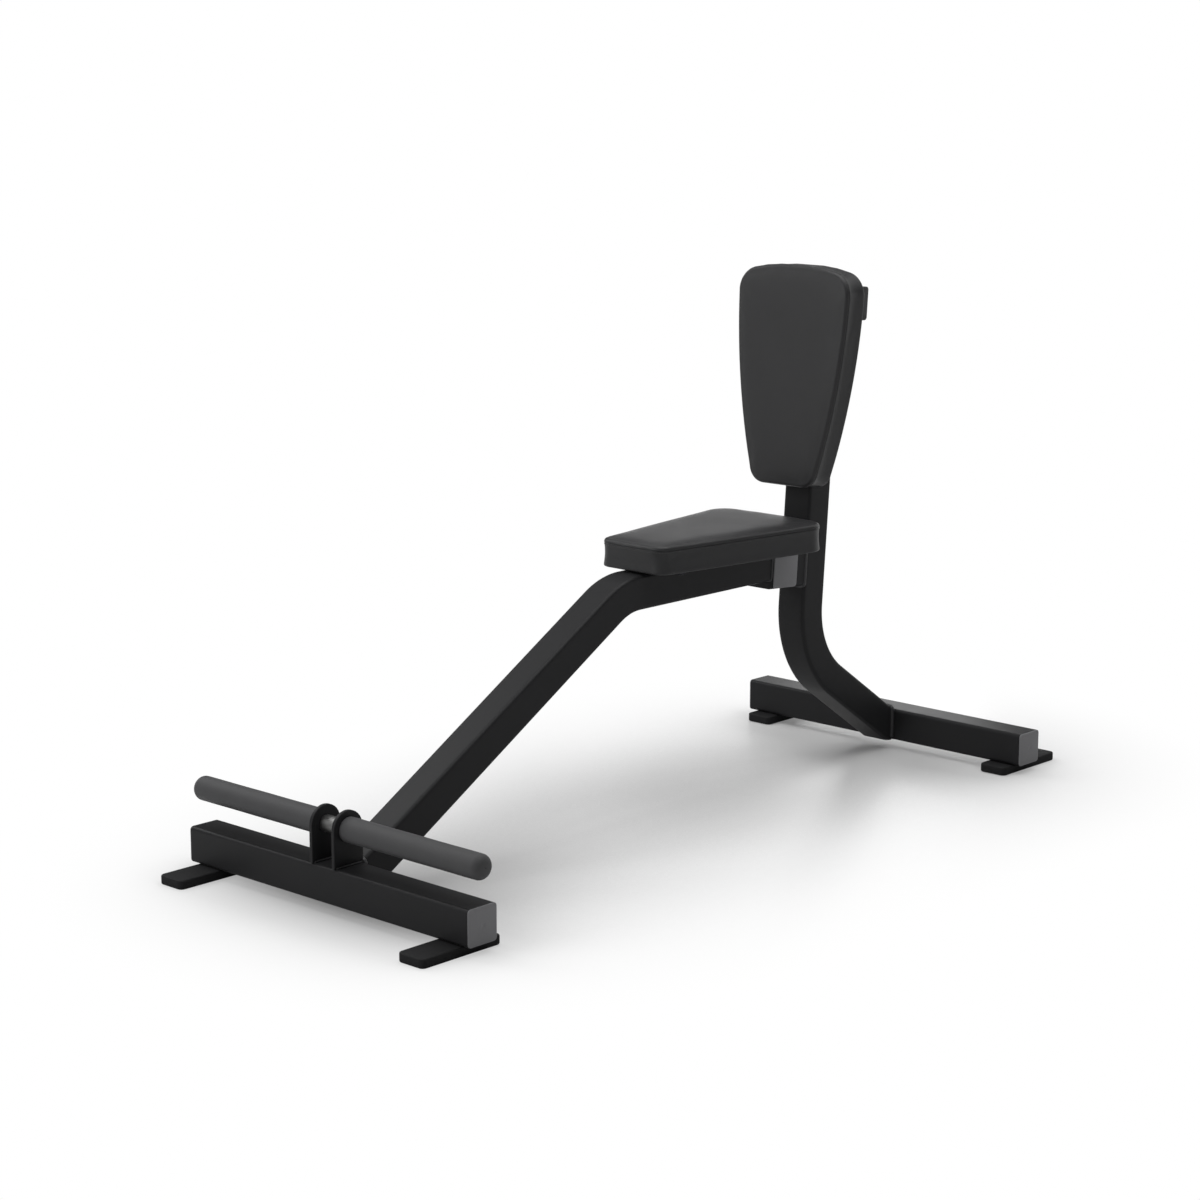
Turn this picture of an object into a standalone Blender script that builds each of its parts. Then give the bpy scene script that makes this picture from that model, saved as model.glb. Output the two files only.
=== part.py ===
"""Utility bench with fixed back rest and front footrest, made in metres, +Z up, front at -Y.

The origin lies on the floor, midway between the two beams.
Run with: blender --background --python part.py
"""

import math

import bmesh
import bpy
from mathutils import Matrix, Vector

# Gap kept between pieces that touch
TOUCH = 0.0003

# Frame tube stock: square steel tube
TUBE_SIDE = 0.055
TUBE_WALL = 0.0025
TUBE_CORNER = 0.007

# Beams that lie across the front and the rear
BEAM_LENGTH = 0.588
BEAM_SPACING = 1.295

# Plastic caps in the open ends of the beams and the crossbar
CAP_PLATE = 0.0027
CAP_PLUG_DEPTH = 0.014
CAP_PLUG_WALL = 0.002
CAP_FIT = 0.0003
CAP_EDGE = 0.001

# Rubber feet under the beams' ends
FOOT_LENGTH = 0.151
FOOT_WIDTH = 0.0515
FOOT_THICKNESS = 0.0143
FOOT_CORNER = 0.009
FOOT_EDGE = 0.0025
FOOT_INSET = 0.015
FOOT_OVERHANG = 0.0995
FOOT_SCREW_SPACING = 0.026

# Foot screws, sunk in the rubber
SCREW_SHANK = 0.0060
SCREW_HEAD = 0.0130
SCREW_HEAD_HEIGHT = 0.0035
SCREW_SINK = 0.0025
SCREW_REACH = 0.010

# Main tube: slopes up from the front beam, then runs level under the seat
MAIN_FOOT_HEIGHT = 0.040
SEAT_TUBE_HEIGHT = 0.373
MAIN_BEND_AHEAD_OF_SEAT = 0.0320
MAIN_BEND_RADIUS = 0.120

# Upright: slopes up and forward from the rear beam, then leans back a little
UPRIGHT_FOOT_HEIGHT = 0.040
UPRIGHT_KNEE_FORWARD = 0.2586
UPRIGHT_KNEE_HEIGHT = 0.1985
UPRIGHT_LEAN = math.radians(4.3)
UPRIGHT_BEND_RADIUS = 0.155

# Stub on the upright that carries the main tube's rear end, its axis a little below the tube's
STUB_DROP = 0.0074
STUB_LENGTH = 0.0830
STUB_HEIGHT = 0.069
STUB_WALL = 0.003
STUB_CORNER = 0.006
JUNCTION_PLATE = 0.003

# Crossbar on top of the upright
CROSSBAR_CLIMB = 0.596
CROSSBAR_LENGTH = 0.155

# Footrest: two round-topped ears, a bar through them and rubber grips on the bar
BAR_DIAMETER = 0.025
BAR_WALL = 0.002
BAR_LENGTH = 0.586
BAR_HEIGHT = 0.124
BAR_FIT = 0.0003
EAR_THICKNESS = 0.006
EAR_WIDTH = 0.055
EAR_SPACING = 0.047
GRIP_DIAMETER = 0.0375
GRIP_FIT = 0.0003
GRIP_DOME = 0.0097
GRIP_ROUNDING = 0.011

# Seat, its wide edge a little ahead of the upright's knee
SEAT_AHEAD_OF_KNEE = 0.0599
SEAT_LENGTH = 0.3585
SEAT_NARROW_WIDTH = 0.129
SEAT_MIDDLE_WIDTH = 0.187
SEAT_WIDE_WIDTH = 0.236
SEAT_THICKNESS = 0.0445
SEAT_NARROW_CORNER = 0.024
SEAT_WIDE_CORNER = 0.034
SEAT_WIDE_BOW = 0.006

# Plates that carry the seat on the main tube
SEAT_PLATE_THICKNESS = 0.003
SEAT_PLATE_WIDTH = 0.040
SEAT_PLATE_CORNER = 0.006
SEAT_PLATE_MARGIN = 0.011

# Seat bolts: distance from the narrow edge and spacing across, front pair then rear pair
SEAT_BOLT_FRONT = 0.075
SEAT_BOLT_REAR = 0.262
SEAT_BOLT_FRONT_SPACING = 0.080
SEAT_BOLT_REAR_SPACING = 0.120

# Back pad
BACK_LENGTH = 0.3635
BACK_NARROW_WIDTH = 0.127
BACK_MIDDLE_WIDTH = 0.2065
BACK_WIDE_WIDTH = 0.2295
BACK_THICKNESS = 0.046
BACK_NARROW_CORNER = 0.030
BACK_WIDE_CORNER = 0.042
BACK_WIDE_BOW = 0.012

# Back bolts, with heights from the pad's narrow edge: the upper pair runs through the crossbar
BACK_BOLT_UPPER = 0.3044
BACK_BOLT_LOWER = 0.060
BACK_BOLT_LOWER_SPACING = 0.090
BACK_BOLT_UPPER_SPACING = 0.090

# Upholstery
BOARD_THICKNESS = 0.012
BOARD_INSET = 0.005
CUSHION_CROWN = 0.006
CUSHION_WAIST = 0.0016
CUSHION_EDGE = 0.009
CUSHION_HEM_STEP = 0.001
CUSHION_HEM_HEIGHT = 0.002

# Bolts and tee nuts for the pads
BOLT_SHANK = 0.008
BOLT_HEAD = 0.013
BOLT_HEAD_HEIGHT = 0.0055
WASHER_DIAMETER = 0.018
WASHER_THICKNESS = 0.0016
BOLT_TIP = 0.010
BOLT_HOLE_FIT = 0.0004
TEE_BARREL = 0.0105
TEE_FLANGE = 0.020
TEE_FLANGE_THICKNESS = 0.0013
TEE_LENGTH = 0.009

# Boxes that trim the tubes' ends, and how far drills run past the surfaces
TRIM_BOX = 0.170
DRILL_OVERRUN = 0.005

# Facets
CORNER_STEPS = 3
BEND_STEPS = 8
ROUND_STEPS = 32
SMALL_ROUND_STEPS = 12
PAD_CORNER_STEPS = 5
PAD_SIDE_STEPS = 8
PAD_EDGE_STEPS = 4

# Where a pad's outline and cushion have their points, as shares
SIDE_MARGIN = 0.04
NARROW_EDGE_POINT = 0.5
WIDE_EDGE_POINT = 0.4
WAIST_SHARES = (0.3, 0.6)
CROWN_SHARES = (0.95, 0.82, 0.6, 0.3)

# Angles on a cushion's rounded edge, where the rings end and where the crown starts
EDGE_SWEEP = 72
CROWN_START = 84

# Worked out from the sizes above
HALF_TUBE = TUBE_SIDE / 2
FRONT_Y = -BEAM_SPACING / 2
REAR_Y = BEAM_SPACING / 2
BEAM_BOTTOM = FOOT_THICKNESS + TOUCH
BEAM_CENTRE = BEAM_BOTTOM + HALF_TUBE
BEAM_TOP = BEAM_BOTTOM + TUBE_SIDE
UP = Vector((0, math.sin(UPRIGHT_LEAN), math.cos(UPRIGHT_LEAN)))
FORWARD = Vector((0, -math.cos(UPRIGHT_LEAN), math.sin(UPRIGHT_LEAN)))
KNEE = Vector((0, REAR_Y - UPRIGHT_KNEE_FORWARD, UPRIGHT_KNEE_HEIGHT))
SEAT_BOTTOM = SEAT_TUBE_HEIGHT + HALF_TUBE + SEAT_PLATE_THICKNESS + 2 * TOUCH
SEAT_FRONT_Y = KNEE.y - SEAT_AHEAD_OF_KNEE - SEAT_LENGTH
STUB_FRONT = HALF_TUBE + TOUCH + STUB_LENGTH
PLATE_FRONT = STUB_FRONT + TOUCH + JUNCTION_PLATE
PLATE_HEIGHT = SEAT_TUBE_HEIGHT - STUB_DROP
STUB_CLIMB = (PLATE_HEIGHT - KNEE.z - FORWARD.z * (PLATE_FRONT + TOUCH)) / UP.z
BACK_CLIMB = CROSSBAR_CLIMB - BACK_BOLT_UPPER

COLOURS = {
    "steel_black": ((0.017, 0.017, 0.018), 0.38, 0.0),
    "steel_bare": ((0.62, 0.62, 0.63), 0.22, 1.0),
    "zinc": ((0.55, 0.55, 0.53), 0.35, 1.0),
    "cap_plastic": ((0.085, 0.085, 0.087), 0.55, 0.0),
    "rubber": ((0.035, 0.035, 0.036), 0.8, 0.0),
    "grip_rubber": ((0.070, 0.070, 0.072), 0.7, 0.0),
    "vinyl": ((0.045, 0.045, 0.047), 0.45, 0.0),
    "plywood": ((0.52, 0.36, 0.20), 0.7, 0.0),
}


def clear_scene():
    for obj in list(bpy.data.objects):
        bpy.data.objects.remove(obj, do_unlink=True)


def new_collection(name):
    collection = bpy.data.collections.new(name)
    bpy.context.scene.collection.children.link(collection)
    return collection


def new_material(name, colour_name):
    """Give one sub-part its own material in one of the bench's finishes."""
    colour, roughness, metallic = COLOURS[colour_name]
    material = bpy.data.materials.new(name)
    material.use_nodes = True
    shader = material.node_tree.nodes["Principled BSDF"]
    shader.inputs["Base Color"].default_value = (*colour, 1.0)
    shader.inputs["Roughness"].default_value = roughness
    shader.inputs["Metallic"].default_value = metallic
    return material


def new_piece(name, mesh, colour_name, place=Matrix()):
    """Make a sub-part's object, with its own material, at its place."""
    obj = bpy.data.objects.new(name, mesh)
    obj.matrix_world = place
    mesh.materials.clear()
    mesh.materials.append(new_material(name + "_finish", colour_name))
    mesh.shade_smooth()
    mesh.set_sharp_from_angle(angle=math.radians(35))
    PARTS.objects.link(obj)
    return obj


def new_cutter(name, mesh, place=Matrix()):
    obj = bpy.data.objects.new(name, mesh)
    obj.matrix_world = place
    obj.hide_render = True
    obj.display_type = "WIRE"
    CUTTERS.objects.link(obj)
    return obj


def boolean(target, other, operation):
    modifier = target.modifiers.new(operation.lower() + "_" + other.name, "BOOLEAN")
    modifier.operation = operation
    modifier.object = other
    modifier.solver = "EXACT"


def cut(target, cutter):
    boolean(target, cutter, "DIFFERENCE")


def join(target, other):
    boolean(target, other, "UNION")


def mesh_from(bm, name):
    mesh = bpy.data.meshes.new(name)
    bm.to_mesh(mesh)
    bm.free()
    return mesh


def rounded_polygon(corners, steps):
    """Round each corner (x, y, radius) of a closed outline with an arc; radius 0 is a plain point."""
    points = []
    count = len(corners)
    for index, (x, y, radius) in enumerate(corners):
        corner = Vector((x, y))
        if radius == 0:
            points.append(corner)
            continue
        before = (Vector(corners[index - 1][:2]) - corner).normalized()
        after = (Vector(corners[(index + 1) % count][:2]) - corner).normalized()
        opening = before.angle(after)
        reach = radius / math.tan(opening / 2)
        middle = (before + after).normalized()
        centre = corner + middle * (radius / math.sin(opening / 2))
        first = corner + before * reach - centre
        turn = (math.pi - opening) / steps
        sign = 1 if before.cross(after) < 0 else -1
        for step in range(steps + 1):
            points.append(centre + Matrix.Rotation(sign * turn * step, 2) @ first)
    return points


def rounded_rectangle(width, height, radius, steps=CORNER_STEPS):
    x = width / 2
    y = height / 2
    corners = [(-x, -y, radius), (x, -y, radius), (x, y, radius), (-x, y, radius)]
    return rounded_polygon(corners, steps)


def flat_mesh(name, outline, thickness):
    """Fill a flat outline and give it thickness, centred on its plane."""
    curve = bpy.data.curves.new(name, "CURVE")
    curve.dimensions = "2D"
    curve.fill_mode = "BOTH"
    curve.extrude = thickness / 2
    spline = curve.splines.new("POLY")
    spline.points.add(len(outline) - 1)
    for point, place in zip(spline.points, outline):
        point.co = (place[0], place[1], 0, 1)
    spline.use_cyclic_u = True
    obj = bpy.data.objects.new(name, curve)
    bpy.context.scene.collection.objects.link(obj)
    graph = bpy.context.evaluated_depsgraph_get()
    mesh = bpy.data.meshes.new_from_object(obj.evaluated_get(graph))
    bpy.data.objects.remove(obj, do_unlink=True)
    bpy.data.curves.remove(curve)
    bm = bmesh.new()
    bm.from_mesh(mesh)
    bpy.data.meshes.remove(mesh)
    bmesh.ops.remove_doubles(bm, verts=bm.verts, dist=0.00001)
    bmesh.ops.dissolve_limit(bm, angle_limit=math.radians(0.1), verts=bm.verts, edges=bm.edges)
    bmesh.ops.recalc_face_normals(bm, faces=bm.faces)
    return mesh_from(bm, name)


def box_mesh(name, size):
    bm = bmesh.new()
    bmesh.ops.create_cube(bm, size=1)
    bmesh.ops.scale(bm, vec=size, verts=bm.verts)
    return mesh_from(bm, name)


def rod_mesh(name, diameter, length, steps=SMALL_ROUND_STEPS):
    """Make a cylinder along Z, centred on the origin."""
    bm = bmesh.new()
    radius = diameter / 2
    bmesh.ops.create_cone(bm, cap_ends=True, segments=steps, radius1=radius, radius2=radius, depth=length)
    return mesh_from(bm, name)


def at(x, y, z, turn=Matrix()):
    return Matrix.Translation((x, y, z)) @ turn


def along_x():
    """Turn that lays a piece's own Z along +X."""
    return Matrix.Rotation(math.radians(90), 4, "Y")


def along_minus_x():
    """Turn that lays a piece's own Z along -X."""
    return along_x() @ Matrix.Rotation(math.pi, 4, "X")


def lean_turn():
    """Turn that stands a piece's own Y up the upright, with own Z forward."""
    return Matrix.Rotation(math.radians(90) - UPRIGHT_LEAN, 4, "X")


def lean_frame(climb, forward):
    """Place on the upright: own X is +X, own Y goes up the upright and own Z points forward."""
    return Matrix.Translation(KNEE + UP * climb + FORWARD * forward) @ lean_turn()


def ring_of_faces(bm, outer, inner, place):
    """Fill the band between two outlines of equal count, as a tube's cut end."""
    rim = [bm.verts.new(place @ Vector((p[0], p[1], 0))) for p in outer]
    bore = [bm.verts.new(place @ Vector((p[0], p[1], 0))) for p in inner]
    count = len(rim)
    faces = []
    for index in range(count):
        after = (index + 1) % count
        faces.append(bm.faces.new((rim[index], rim[after], bore[after], bore[index])))
    return faces


def with_edges_and_vertices(faces):
    edges = {edge for face in faces for edge in face.edges}
    verts = {vert for face in faces for vert in face.verts}
    return list(faces) + list(edges) + list(verts)


def push_faces(bm, faces, step):
    """Extrude the tube's end faces along a vector and return the new end."""
    made = bmesh.ops.extrude_face_region(bm, geom=with_edges_and_vertices(faces))["geom"]
    verts = [item for item in made if isinstance(item, bmesh.types.BMVert)]
    bmesh.ops.translate(bm, verts=verts, vec=step)
    return [item for item in made if isinstance(item, bmesh.types.BMFace)]


def spin_faces(bm, faces, centre, angle):
    """Carry the tube's end faces round a bend, about an axis along X."""
    geom = with_edges_and_vertices(faces)
    made = bmesh.ops.spin(bm, geom=geom, cent=centre, axis=(1, 0, 0), angle=angle, steps=BEND_STEPS)
    return [item for item in made["geom_last"] if isinstance(item, bmesh.types.BMFace)]


def bent_tube_mesh(name, start, bend, end, radius):
    """Bend square tube once in the YZ plane: straight, arc, straight, with open ends."""
    outer = rounded_rectangle(TUBE_SIDE, TUBE_SIDE, TUBE_CORNER)
    inner_side = TUBE_SIDE - 2 * TUBE_WALL
    inner = rounded_rectangle(inner_side, inner_side, TUBE_CORNER - TUBE_WALL)
    first = (bend - start).normalized()
    second = (end - bend).normalized()
    angle = first.angle(second)
    sense = 1 if first.cross(second).x > 0 else -1
    reach = radius * math.tan(angle / 2)
    across = Vector((1, 0, 0))
    section = Matrix((across, first.cross(across), first)).transposed().to_4x4()
    bm = bmesh.new()
    faces = ring_of_faces(bm, outer, inner, Matrix.Translation(start) @ section)
    faces = push_faces(bm, faces, first * ((bend - start).length - reach))
    to_centre = Matrix.Rotation(sense * math.radians(90), 3, "X") @ first
    centre = bend - first * reach + to_centre * radius
    faces = spin_faces(bm, faces, centre, sense * angle)
    push_faces(bm, faces, second * ((end - bend).length - reach))
    bmesh.ops.recalc_face_normals(bm, faces=bm.faces)
    return mesh_from(bm, name)


def straight_tube_mesh(name, width, height, wall, corner, length):
    """Make open rectangular tube along Z, centred on the origin."""
    outer = rounded_rectangle(width, height, corner)
    inner = rounded_rectangle(width - 2 * wall, height - 2 * wall, corner - wall)
    bm = bmesh.new()
    faces = ring_of_faces(bm, outer, inner, Matrix.Translation((0, 0, -length / 2)))
    push_faces(bm, faces, (0, 0, length))
    bmesh.ops.recalc_face_normals(bm, faces=bm.faces)
    return mesh_from(bm, name)


def turned_mesh(name, profile, steps):
    """Turn a profile (radius, z), listed from top to bottom, about Z with a Screw modifier."""
    bm = bmesh.new()
    verts = [bm.verts.new((radius, 0, z)) for radius, z in profile]
    for first, second in zip(verts, verts[1:]):
        bm.edges.new((first, second))
    obj = bpy.data.objects.new(name, mesh_from(bm, name + "_profile"))
    bpy.context.scene.collection.objects.link(obj)
    screw = obj.modifiers.new("turn", "SCREW")
    screw.angle = math.radians(360)
    screw.steps = steps
    screw.render_steps = steps
    screw.use_merge_vertices = True
    screw.merge_threshold = 0.00001
    graph = bpy.context.evaluated_depsgraph_get()
    mesh = bpy.data.meshes.new_from_object(obj.evaluated_get(graph))
    profile_mesh = obj.data
    bpy.data.objects.remove(obj, do_unlink=True)
    bpy.data.meshes.remove(profile_mesh)
    mesh.name = name
    return mesh


def arc(centre_x, centre_y, radius, start, end, steps):
    """Points of an arc, with its angles in degrees."""
    points = []
    for step in range(steps + 1):
        angle = math.radians(start + (end - start) * step / steps)
        points.append((centre_x + radius * math.cos(angle), centre_y + radius * math.sin(angle)))
    return points


def make_cap(name, place):
    """Plastic cap: a plate over the tube's end and a hollow plug inside it, with own Z pointing out."""
    plate = flat_mesh(name, rounded_rectangle(TUBE_SIDE, TUBE_SIDE, TUBE_CORNER), CAP_PLATE)
    plate.transform(at(0, 0, TOUCH + CAP_PLATE / 2))
    cap = new_piece(name, plate, "cap_plastic", place)
    edge = cap.modifiers.new("soft_edge", "BEVEL")
    edge.width = CAP_EDGE
    edge.segments = 2
    edge.limit_method = "ANGLE"
    edge.angle_limit = math.radians(50)
    plug_side = TUBE_SIDE - 2 * TUBE_WALL - 2 * CAP_FIT
    plug_corner = TUBE_CORNER - TUBE_WALL - CAP_FIT
    overlap = CAP_PLATE / 2
    plug_length = CAP_PLUG_DEPTH + overlap
    plug_name = name + "_plug"
    plug_mesh = straight_tube_mesh(plug_name, plug_side, plug_side, CAP_PLUG_WALL, plug_corner, plug_length)
    plug = new_cutter(plug_name, plug_mesh, place @ at(0, 0, TOUCH + overlap - plug_length / 2))
    join(cap, plug)


def make_beam(name, label, y):
    """Beam across the bench, with caps in its ends and feet screwed under it."""
    mesh = straight_tube_mesh(name, TUBE_SIDE, TUBE_SIDE, TUBE_WALL, TUBE_CORNER, BEAM_LENGTH)
    beam = new_piece(name, mesh, "steel_black", at(0, y, BEAM_CENTRE, along_x()))
    half = BEAM_LENGTH / 2
    make_cap(f"beam_cap_{label}_right", at(half, y, BEAM_CENTRE, along_x()))
    make_cap(f"beam_cap_{label}_left", at(-half, y, BEAM_CENTRE, along_minus_x()))
    outward = math.copysign(1, y)
    end_plate = CAP_PLATE + TOUCH
    foot_x = half + end_plate - FOOT_INSET - FOOT_WIDTH / 2
    for side, sign in (("right", 1), ("left", -1)):
        make_foot(beam, f"{label}_{side}", sign * foot_x, y, outward)


def make_foot(beam, label, x, beam_y, outward):
    """Rubber foot that reaches out past the beam, held by two sunk screws."""
    outline = rounded_rectangle(FOOT_WIDTH, FOOT_LENGTH, FOOT_CORNER)
    mesh = flat_mesh("foot_" + label, outline, FOOT_THICKNESS)
    foot_y = beam_y + outward * (FOOT_OVERHANG - FOOT_LENGTH / 2)
    foot = new_piece("foot_" + label, mesh, "rubber", at(x, foot_y, FOOT_THICKNESS / 2))
    edge = foot.modifiers.new("soft_edge", "BEVEL")
    edge.width = FOOT_EDGE
    edge.segments = 2
    edge.limit_method = "ANGLE"
    edge.angle_limit = math.radians(50)
    for number, sign in ((1, -1), (2, 1)):
        screw_y = beam_y + sign * FOOT_SCREW_SPACING / 2
        make_foot_screw(beam, foot, f"{label}_{number}", x, screw_y)


def make_foot_screw(beam, foot, label, x, y):
    """Pan-head screw up through the foot into the beam's lower wall."""
    top = BEAM_BOTTOM + TUBE_WALL + SCREW_REACH
    head_top = SCREW_SINK + SCREW_HEAD_HEIGHT
    shank = SCREW_SHANK / 2
    head = SCREW_HEAD / 2
    profile = [(0, top), (shank, top), (shank, head_top), (head, head_top)]
    profile += [(head, SCREW_SINK), (0, SCREW_SINK)]
    mesh = turned_mesh("foot_screw_" + label, profile, SMALL_ROUND_STEPS)
    new_piece("foot_screw_" + label, mesh, "zinc", at(x, y, 0))
    hole = rod_mesh("foot_hole_" + label, SCREW_SHANK + 2 * BOLT_HOLE_FIT, 2 * top)
    hole_cutter = new_cutter("foot_hole_" + label, hole, at(x, y, 0))
    well_height = 2 * (head_top + TOUCH)
    well = rod_mesh("foot_well_" + label, SCREW_HEAD + 2 * BOLT_HOLE_FIT, well_height)
    well_cutter = new_cutter("foot_well_" + label, well, at(x, y, 0))
    beam_hole_depth = TUBE_WALL + 2 * TOUCH
    beam_hole = rod_mesh("beam_hole_" + label, SCREW_SHANK + 2 * BOLT_HOLE_FIT, beam_hole_depth)
    beam_cutter = new_cutter("beam_hole_" + label, beam_hole, at(x, y, BEAM_BOTTOM + TUBE_WALL / 2))
    cut(foot, hole_cutter)
    cut(foot, well_cutter)
    cut(beam, beam_cutter)


def make_main_tube():
    """Sloping tube, bent level under the seat, cut to fit the front beam and the stub's plate."""
    plate_face = KNEE + UP * STUB_CLIMB + FORWARD * (PLATE_FRONT + TOUCH)
    foot = Vector((0, FRONT_Y + HALF_TUBE, MAIN_FOOT_HEIGHT))
    bend = Vector((0, SEAT_FRONT_Y - MAIN_BEND_AHEAD_OF_SEAT, SEAT_TUBE_HEIGHT))
    start = foot + (foot - bend).normalized() * TUBE_SIDE
    end = Vector((0, plate_face.y + TUBE_SIDE, SEAT_TUBE_HEIGHT))
    mesh = bent_tube_mesh("main_tube", start, bend, end, MAIN_BEND_RADIUS)
    tube = new_piece("main_tube", mesh, "steel_black")
    face_y = FRONT_Y + HALF_TUBE + TOUCH
    trim = Vector((TRIM_BOX, TRIM_BOX, TRIM_BOX))
    beam_side = box_mesh("main_tube_front_cut", trim)
    cut(tube, new_cutter("main_tube_front_cut", beam_side, at(0, face_y - TRIM_BOX / 2, BEAM_CENTRE)))
    floor_side = box_mesh("main_tube_lower_cut", trim)
    cut(tube, new_cutter("main_tube_lower_cut", floor_side, at(0, face_y, BEAM_BOTTOM - TRIM_BOX / 2)))
    plate_side = box_mesh("main_tube_rear_cut", trim)
    place = Matrix.Translation(plate_face - FORWARD * TRIM_BOX / 2) @ lean_turn()
    cut(tube, new_cutter("main_tube_rear_cut", plate_side, place))


def make_upright():
    """Tube from the rear beam, bent at the knee, up to the crossbar."""
    start = Vector((0, REAR_Y - HALF_TUBE, UPRIGHT_FOOT_HEIGHT))
    run_in = (start - KNEE).normalized() * TUBE_SIDE
    end = KNEE + UP * (CROSSBAR_CLIMB - HALF_TUBE - TOUCH)
    mesh = bent_tube_mesh("upright", start + run_in, KNEE, end, UPRIGHT_BEND_RADIUS)
    upright = new_piece("upright", mesh, "steel_black")
    face_y = REAR_Y - HALF_TUBE - TOUCH
    trim = Vector((TRIM_BOX, TRIM_BOX, TRIM_BOX))
    beam_side = box_mesh("upright_rear_cut", trim)
    cut(upright, new_cutter("upright_rear_cut", beam_side, at(0, face_y + TRIM_BOX / 2, BEAM_CENTRE)))
    floor_side = box_mesh("upright_lower_cut", trim)
    cut(upright, new_cutter("upright_lower_cut", floor_side, at(0, face_y, BEAM_BOTTOM - TRIM_BOX / 2)))
    return upright


def make_stub():
    """Rectangular stub, square to the upright, with the end plate that the main tube meets."""
    mesh = straight_tube_mesh("junction_stub", TUBE_SIDE, STUB_HEIGHT, STUB_WALL, STUB_CORNER, STUB_LENGTH)
    new_piece("junction_stub", mesh, "steel_black", lean_frame(STUB_CLIMB, STUB_FRONT - STUB_LENGTH / 2))
    outline = rounded_rectangle(TUBE_SIDE, STUB_HEIGHT, STUB_CORNER)
    plate = flat_mesh("junction_plate", outline, JUNCTION_PLATE)
    plate_place = lean_frame(STUB_CLIMB, PLATE_FRONT - JUNCTION_PLATE / 2)
    new_piece("junction_plate", plate, "steel_black", plate_place)


def make_crossbar():
    """Short tube across the upright's top, with a cap in each end."""
    mesh = straight_tube_mesh("crossbar", TUBE_SIDE, TUBE_SIDE, TUBE_WALL, TUBE_CORNER, CROSSBAR_LENGTH)
    frame = lean_frame(CROSSBAR_CLIMB, 0)
    bar = new_piece("crossbar", mesh, "steel_black", frame @ along_x())
    half = CROSSBAR_LENGTH / 2
    make_cap("crossbar_cap_right", frame @ at(half, 0, 0, along_x()))
    make_cap("crossbar_cap_left", frame @ at(-half, 0, 0, along_minus_x()))
    return bar


def make_footrest():
    """Two ears on the front beam, the bar through them and a rubber grip on each side."""
    ear_bottom = BEAM_TOP + TOUCH
    half = EAR_WIDTH / 2
    outline = [(-half, ear_bottom), (half, ear_bottom)]
    outline += arc(0, BAR_HEIGHT, half, 0, 180, ROUND_STEPS // 2)
    stand_up = Matrix.Rotation(math.radians(90), 4, "Z") @ Matrix.Rotation(math.radians(90), 4, "X")
    for side, sign in (("right", 1), ("left", -1)):
        name = "footrest_ear_" + side
        mesh = flat_mesh(name, outline, EAR_THICKNESS)
        ear = new_piece(name, mesh, "steel_black", at(sign * EAR_SPACING / 2, FRONT_Y, 0, stand_up))
        drill_length = EAR_THICKNESS + 2 * DRILL_OVERRUN
        hole = rod_mesh(name + "_hole", BAR_DIAMETER + 2 * BAR_FIT, drill_length, ROUND_STEPS)
        hole_place = at(sign * EAR_SPACING / 2, FRONT_Y, BAR_HEIGHT, along_x())
        cut(ear, new_cutter(name + "_hole", hole, hole_place))
        make_grip("grip_" + side, sign)
    radius = BAR_DIAMETER / 2
    bore = radius - BAR_WALL
    half_bar = BAR_LENGTH / 2
    profile = [(bore, half_bar), (radius, half_bar), (radius, -half_bar)]
    profile += [(bore, -half_bar), (bore, half_bar)]
    bar = turned_mesh("footrest_bar", profile, ROUND_STEPS)
    new_piece("footrest_bar", bar, "steel_bare", at(0, FRONT_Y, BAR_HEIGHT, along_x()))


def make_grip(name, sign):
    """Rubber sleeve with a closed, rounded outer end."""
    start = EAR_SPACING / 2 + EAR_THICKNESS / 2 + TOUCH
    bore_end = BAR_LENGTH / 2 + TOUCH
    end = bore_end + GRIP_DOME
    radius = GRIP_DIAMETER / 2
    bore = BAR_DIAMETER / 2 + GRIP_FIT
    rounding = arc(radius - GRIP_ROUNDING, end - GRIP_ROUNDING, GRIP_ROUNDING, 90, 0, CORNER_STEPS + 1)
    profile = [(0, end)] + rounding + [(radius, start), (bore, start), (bore, bore_end), (0, bore_end)]
    mesh = turned_mesh(name, profile, ROUND_STEPS)
    turn = along_x() if sign > 0 else along_minus_x()
    new_piece(name, mesh, "grip_rubber", at(0, FRONT_Y, BAR_HEIGHT, turn))


def pad_outline(length, narrow, middle, wide, narrow_corner, wide_corner, bow):
    """Outline of a tapered pad: narrow edge at y 0, wide edge at y = length, sides on a quadratic."""
    right = [(narrow / 2 * NARROW_EDGE_POINT, 0, 0), (narrow / 2, 0, narrow_corner)]
    for step in range(1, PAD_SIDE_STEPS):
        share = SIDE_MARGIN + (1 - 2 * SIDE_MARGIN) * step / PAD_SIDE_STEPS
        width = narrow * (1 - share) * (1 - 2 * share) + wide * share * (2 * share - 1)
        width += 4 * middle * share * (1 - share)
        right.append((width / 2, share * length, 0))
    right.append((wide / 2, length - bow, wide_corner))
    right.append((wide / 2 * WIDE_EDGE_POINT, length - bow * WIDE_EDGE_POINT ** 2, 0))
    left = [(-x, y, radius) for x, y, radius in reversed(right)]
    return rounded_polygon(right + left, PAD_CORNER_STEPS)


def offset_outline(outline, inward):
    """Move each point of a closed outline inwards along its normal."""
    moved = []
    count = len(outline)
    for index, point in enumerate(outline):
        before = (point - outline[index - 1]).normalized()
        after = (outline[(index + 1) % count] - point).normalized()
        along = (before + after).normalized()
        moved.append(point + Vector((-along.y, along.x)) * inward)
    return moved


def shrunk_outline(outline, share):
    """Draw an outline in towards its middle by a share of its size."""
    middle = sum(outline, Vector((0, 0))) / len(outline)
    return [middle + (point - middle) * share for point in outline]


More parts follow.
